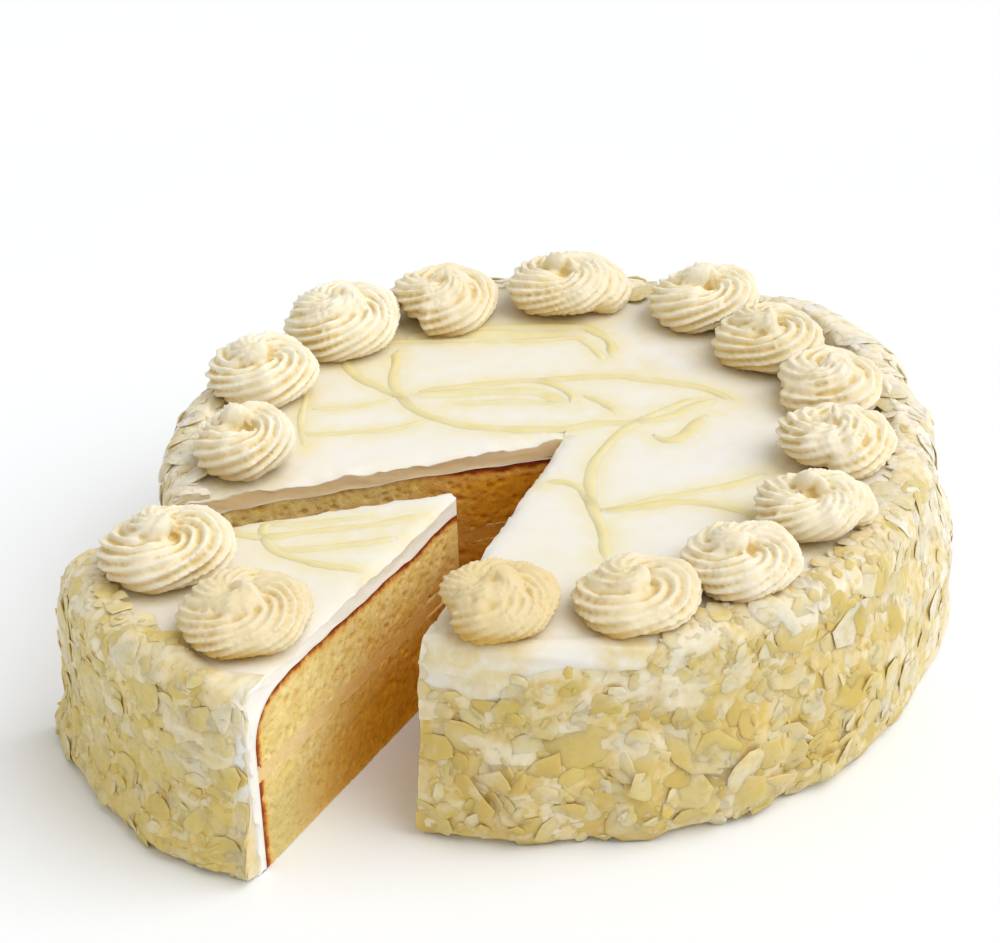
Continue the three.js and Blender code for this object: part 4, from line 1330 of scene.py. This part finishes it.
def sponge_material():
    m = Mat("golden_sponge", roughness=0.85, specular=0.08, sss=0.05, radius=(1.0, 0.6, 0.25), scale=0.0015)
    crust = m.attr("crust")
    dist = m.math("MULTIPLY", m.math("ADD", crust, m.math("MULTIPLY", m.math("SUBTRACT", m.noise(3.4, 3), 0.5), 3.0)), 0.1)
    crumb_c = m.mix(m.span(m.noise(8, 3), 0.35, 0.68), lin(243, 226, 164), lin(235, 209, 124))
    crumb_c = m.mix(m.span(m.noise(1.9, 4, 0.6), 0.45, 0.68, 0, 0.6), crumb_c, lin(247, 230, 172))
    crumb_c = m.mix(m.span(m.noise(0.9, 2), 0.55, 0.75, 0, 0.40), crumb_c, lin(226, 186, 98))
    crumb_c = m.mix(m.span(m.noise(5.5, 3, 0.5), 0.47, 0.60, 0, 0.32), crumb_c, lin(212, 170, 80))
    # painted shade in the crumb's pits and open pores
    pit_shade = m.span(m.cells(1.25), 0.10, 0.30, 0.4, 0.0)
    crumb_c = m.mix(pit_shade, crumb_c, lin(220, 176, 86))
    crumb_c = m.mix(m.math("MULTIPLY", m.attr("pore"), 0.5), crumb_c, lin(214, 166, 74))
    # painted shade: darker towards the bottom of the sponge
    crumb_c = m.mix(m.math("MULTIPLY", m.attr("damp"), 0.75), crumb_c, lin(210, 190, 126))
    # painted shade: browner towards the cut's point and low down, where the cut faces lie in shade
    deep = m.mix(m.span(m.noise(3.2, 3), 0.40, 0.66), lin(216, 144, 8), lin(230, 168, 28))
    crumb_c = m.mix(m.math("MULTIPLY", m.attr("inner"), 0.97), crumb_c, deep)
    band = m.ramp(dist, [(0.0, lin(132, 60, 28)), (0.14, lin(152, 72, 26)), (0.22, lin(200, 124, 52)),
                         (0.32, lin(232, 182, 92)), (0.45, lin(244, 216, 144))])
    c = m.mix(m.span(dist, 0.20, 0.48, 0, 1), band, crumb_c)
    m.colour(c)
    m.rough(m.span(m.noise(2, 2), 0.3, 0.7, 0.78, 0.95))
    h = m.math("ADD", m.math("MULTIPLY", m.noise(0.8, 3, 0.6), 0.7), m.span(m.cells(0.8), 0.05, 0.35))
    m.bump(h, 0.25, 0.7)
    return m.m


def filling_material():
    m = Mat("cream_layer", roughness=0.7, specular=0.10, sss=0.12, radius=(1.0, 0.7, 0.4), scale=0.0020)
    c = m.mix(m.span(m.noise(6, 3), 0.35, 0.65), lin(240, 216, 164), lin(234, 202, 142))
    c = m.mix(m.span(m.noise(1.6, 3), 0.48, 0.7, 0, 0.7), c, lin(232, 192, 108))
    # painted shade: browner towards the cut's point and low down, as on the sponge
    c = m.mix(m.math("MULTIPLY", m.attr("inner"), 0.92), c, lin(228, 164, 44))
    m.colour(c)
    m.rough(m.span(m.noise(3, 2), 0.3, 0.7, 0.6, 0.8))
    m.bump(m.noise(1.0, 3), 0.25, 0.7)
    return m.m


# ------------------------------------------------------------------ the object
M_ICING, M_DRIZZLE, M_ROSETTE = icing_material(), drizzle_material(), rosette_material()
M_SHARD, M_SPONGE, M_FILL = shard_material(), sponge_material(), filling_material()

STEP = 0.60
for cut, who, seed, rings in ((MAIN, "main", 11, 64), (SLICE, "slice", 23, 14)):
    sponge(f"{who}_lower_sponge", cut, 0.0, Z_LOWER_TOP + 0.1, False, ("wall",), {1: 1}, seed, STEP,
           [f"{who}_sponge_lower"], M_SPONGE, rings)
    sponge(f"{who}_filling", cut, Z_LOWER_TOP - 0.45, Z_FILL_TOP + 0.8, False, (), {0: 1, 1: 2}, seed + 200, 0.9,
           [f"{who}_cream_filling"], M_FILL, rings, cream=True)
    sponge(f"{who}_upper_sponge", cut, Z_FILL_TOP + 0.25, Z_SPONGE_TOP + 0.1, True, ("top", "wall"), {0: 2}, seed + 400, STEP,
           [f"{who}_sponge_upper"], M_SPONGE, rings)
icing("main_icing_cap", MAIN, 214, 3, ["main_icing"], M_ICING, DRIZZLE)
icing("slice_icing_cap", SLICE, 40, 4, ["slice_icing"], M_ICING, SLICE_DRIZZLE)

coat_ground("main_coat_ground", MAIN, M_SHARD, 61, False)
coat_ground("slice_coat_ground", SLICE, M_SHARD, 62, True)
coat("main_shards", MAIN, 61, "white_shards", ["main_shard_coat"], M_SHARD, False, 1300, 1900)
coat("slice_shards", SLICE, 62, "white_shards", ["slice_shard_coat"], M_SHARD, True, 225, 320)

drizzle("main_drizzle", DRIZZLE, M_DRIZZLE, 5, MAIN)
drizzle("slice_drizzle", SLICE_DRIZZLE, M_DRIZZLE, 6, SLICE)

for i, (x, y, r, h, start, how) in enumerate(SPOTS, 1):
    rng = np.random.default_rng(900 + i)
    rosette(f"swirl_{i:02d}", x, y, r, h, start, 40 + i, "rosette_cream", [f"rosette_{i:02d}"], M_ROSETTE,
            tilt=tuple(rng.normal(0, 0.06, 2)), squash=tuple(1 + rng.normal(0, 0.03, 2)), **how)

# ------------------------------------------------------------- floor and light
def floor():
    n = 24
    size = 3.0
    x = np.linspace(-size, size, n)
    X, Y = np.meshgrid(x, x, indexing="ij")
    v = np.stack([X, Y, np.full_like(X, -0.0002)], -1).reshape(-1, 3)
    ids = np.arange(n * n).reshape(n, n)
    f = np.stack([ids[:-1, :-1], ids[1:, :-1], ids[1:, 1:], ids[:-1, 1:]], -1).reshape(-1, 4)
    me = bpy.data.meshes.new("floor")
    me.from_pydata(v.tolist(), [], f.tolist())
    m = Mat("floor_pale", roughness=0.9, specular=0.1)
    m.colour(m.mix(m.noise(300, 2), lin(248, 251, 255), lin(246, 250, 255)))
    me.materials.append(m.m)
    ob = bpy.data.objects.new("floor", me)
    bpy.context.scene.collection.objects.link(ob)
    return ob


floor()
scene = bpy.context.scene
scene.view_settings.view_transform = "Standard"
scene.view_settings.look = "None"
scene.view_settings.exposure = 0.0
scene.view_settings.gamma = 1.0
world = bpy.data.worlds.new("studio")
scene.world = world
world.use_nodes = True
bg = world.node_tree.nodes["Background"]
bg.inputs["Color"].default_value = (1.0, 0.976, 0.925, 1.0)
bg.inputs["Strength"].default_value = 0.60


def soft_sun(name, towards, spread_deg, strength, colour):
    """A far, wide studio light: the same all over the floor."""
    data = bpy.data.lights.new(name, "SUN")
    data.angle = math.radians(spread_deg)
    data.energy = strength
    data.color = colour
    ob = bpy.data.objects.new(name, data)
    scene.collection.objects.link(ob)
    ob.location = Vector(towards).normalized() * 2.0
    ob.rotation_mode = "QUATERNION"
    ob.rotation_quaternion = (-Vector(towards)).to_track_quat("-Z", "Y")
    return ob


soft_sun("key", (0.60, -0.10, 0.79), 60.0, 1.88, (1.0, 0.99, 1.0))

# --------------------------------------------------------------------- camera
AZ, EL, ROLL = (math.radians(x) for x in (-1.31, 29.56, -1.93))
EYE = np.array([0.1, -662.1, 423.3]) + CENTRE
FOCAL_PX, WIDTH_PX = 2534.2, 1000.0
fwd = np.array([math.sin(AZ) * math.cos(EL), math.cos(AZ) * math.cos(EL), -math.sin(EL)])
right = np.array([math.cos(AZ), -math.sin(AZ), 0.0])
up = np.cross(right, fwd)
cam_x = math.cos(ROLL) * right + math.sin(ROLL) * up
cam_y = -math.sin(ROLL) * right + math.cos(ROLL) * up
data = bpy.data.cameras.new("camera")
data.sensor_fit = "HORIZONTAL"
data.sensor_width = 36.0
data.lens = 36.0 * FOCAL_PX / WIDTH_PX
data.clip_start, data.clip_end = 0.02, 50.0
cam = bpy.data.objects.new("camera", data)
scene.collection.objects.link(cam)
cam.matrix_world = Matrix([
    [cam_x[0], cam_y[0], -fwd[0], EYE[0] * 0.001],
    [cam_x[1], cam_y[1], -fwd[1], EYE[1] * 0.001],
    [cam_x[2], cam_y[2], -fwd[2], EYE[2] * 0.001],
    [0, 0, 0, 1],
])
scene.camera = cam

bpy.context.view_layer.update()
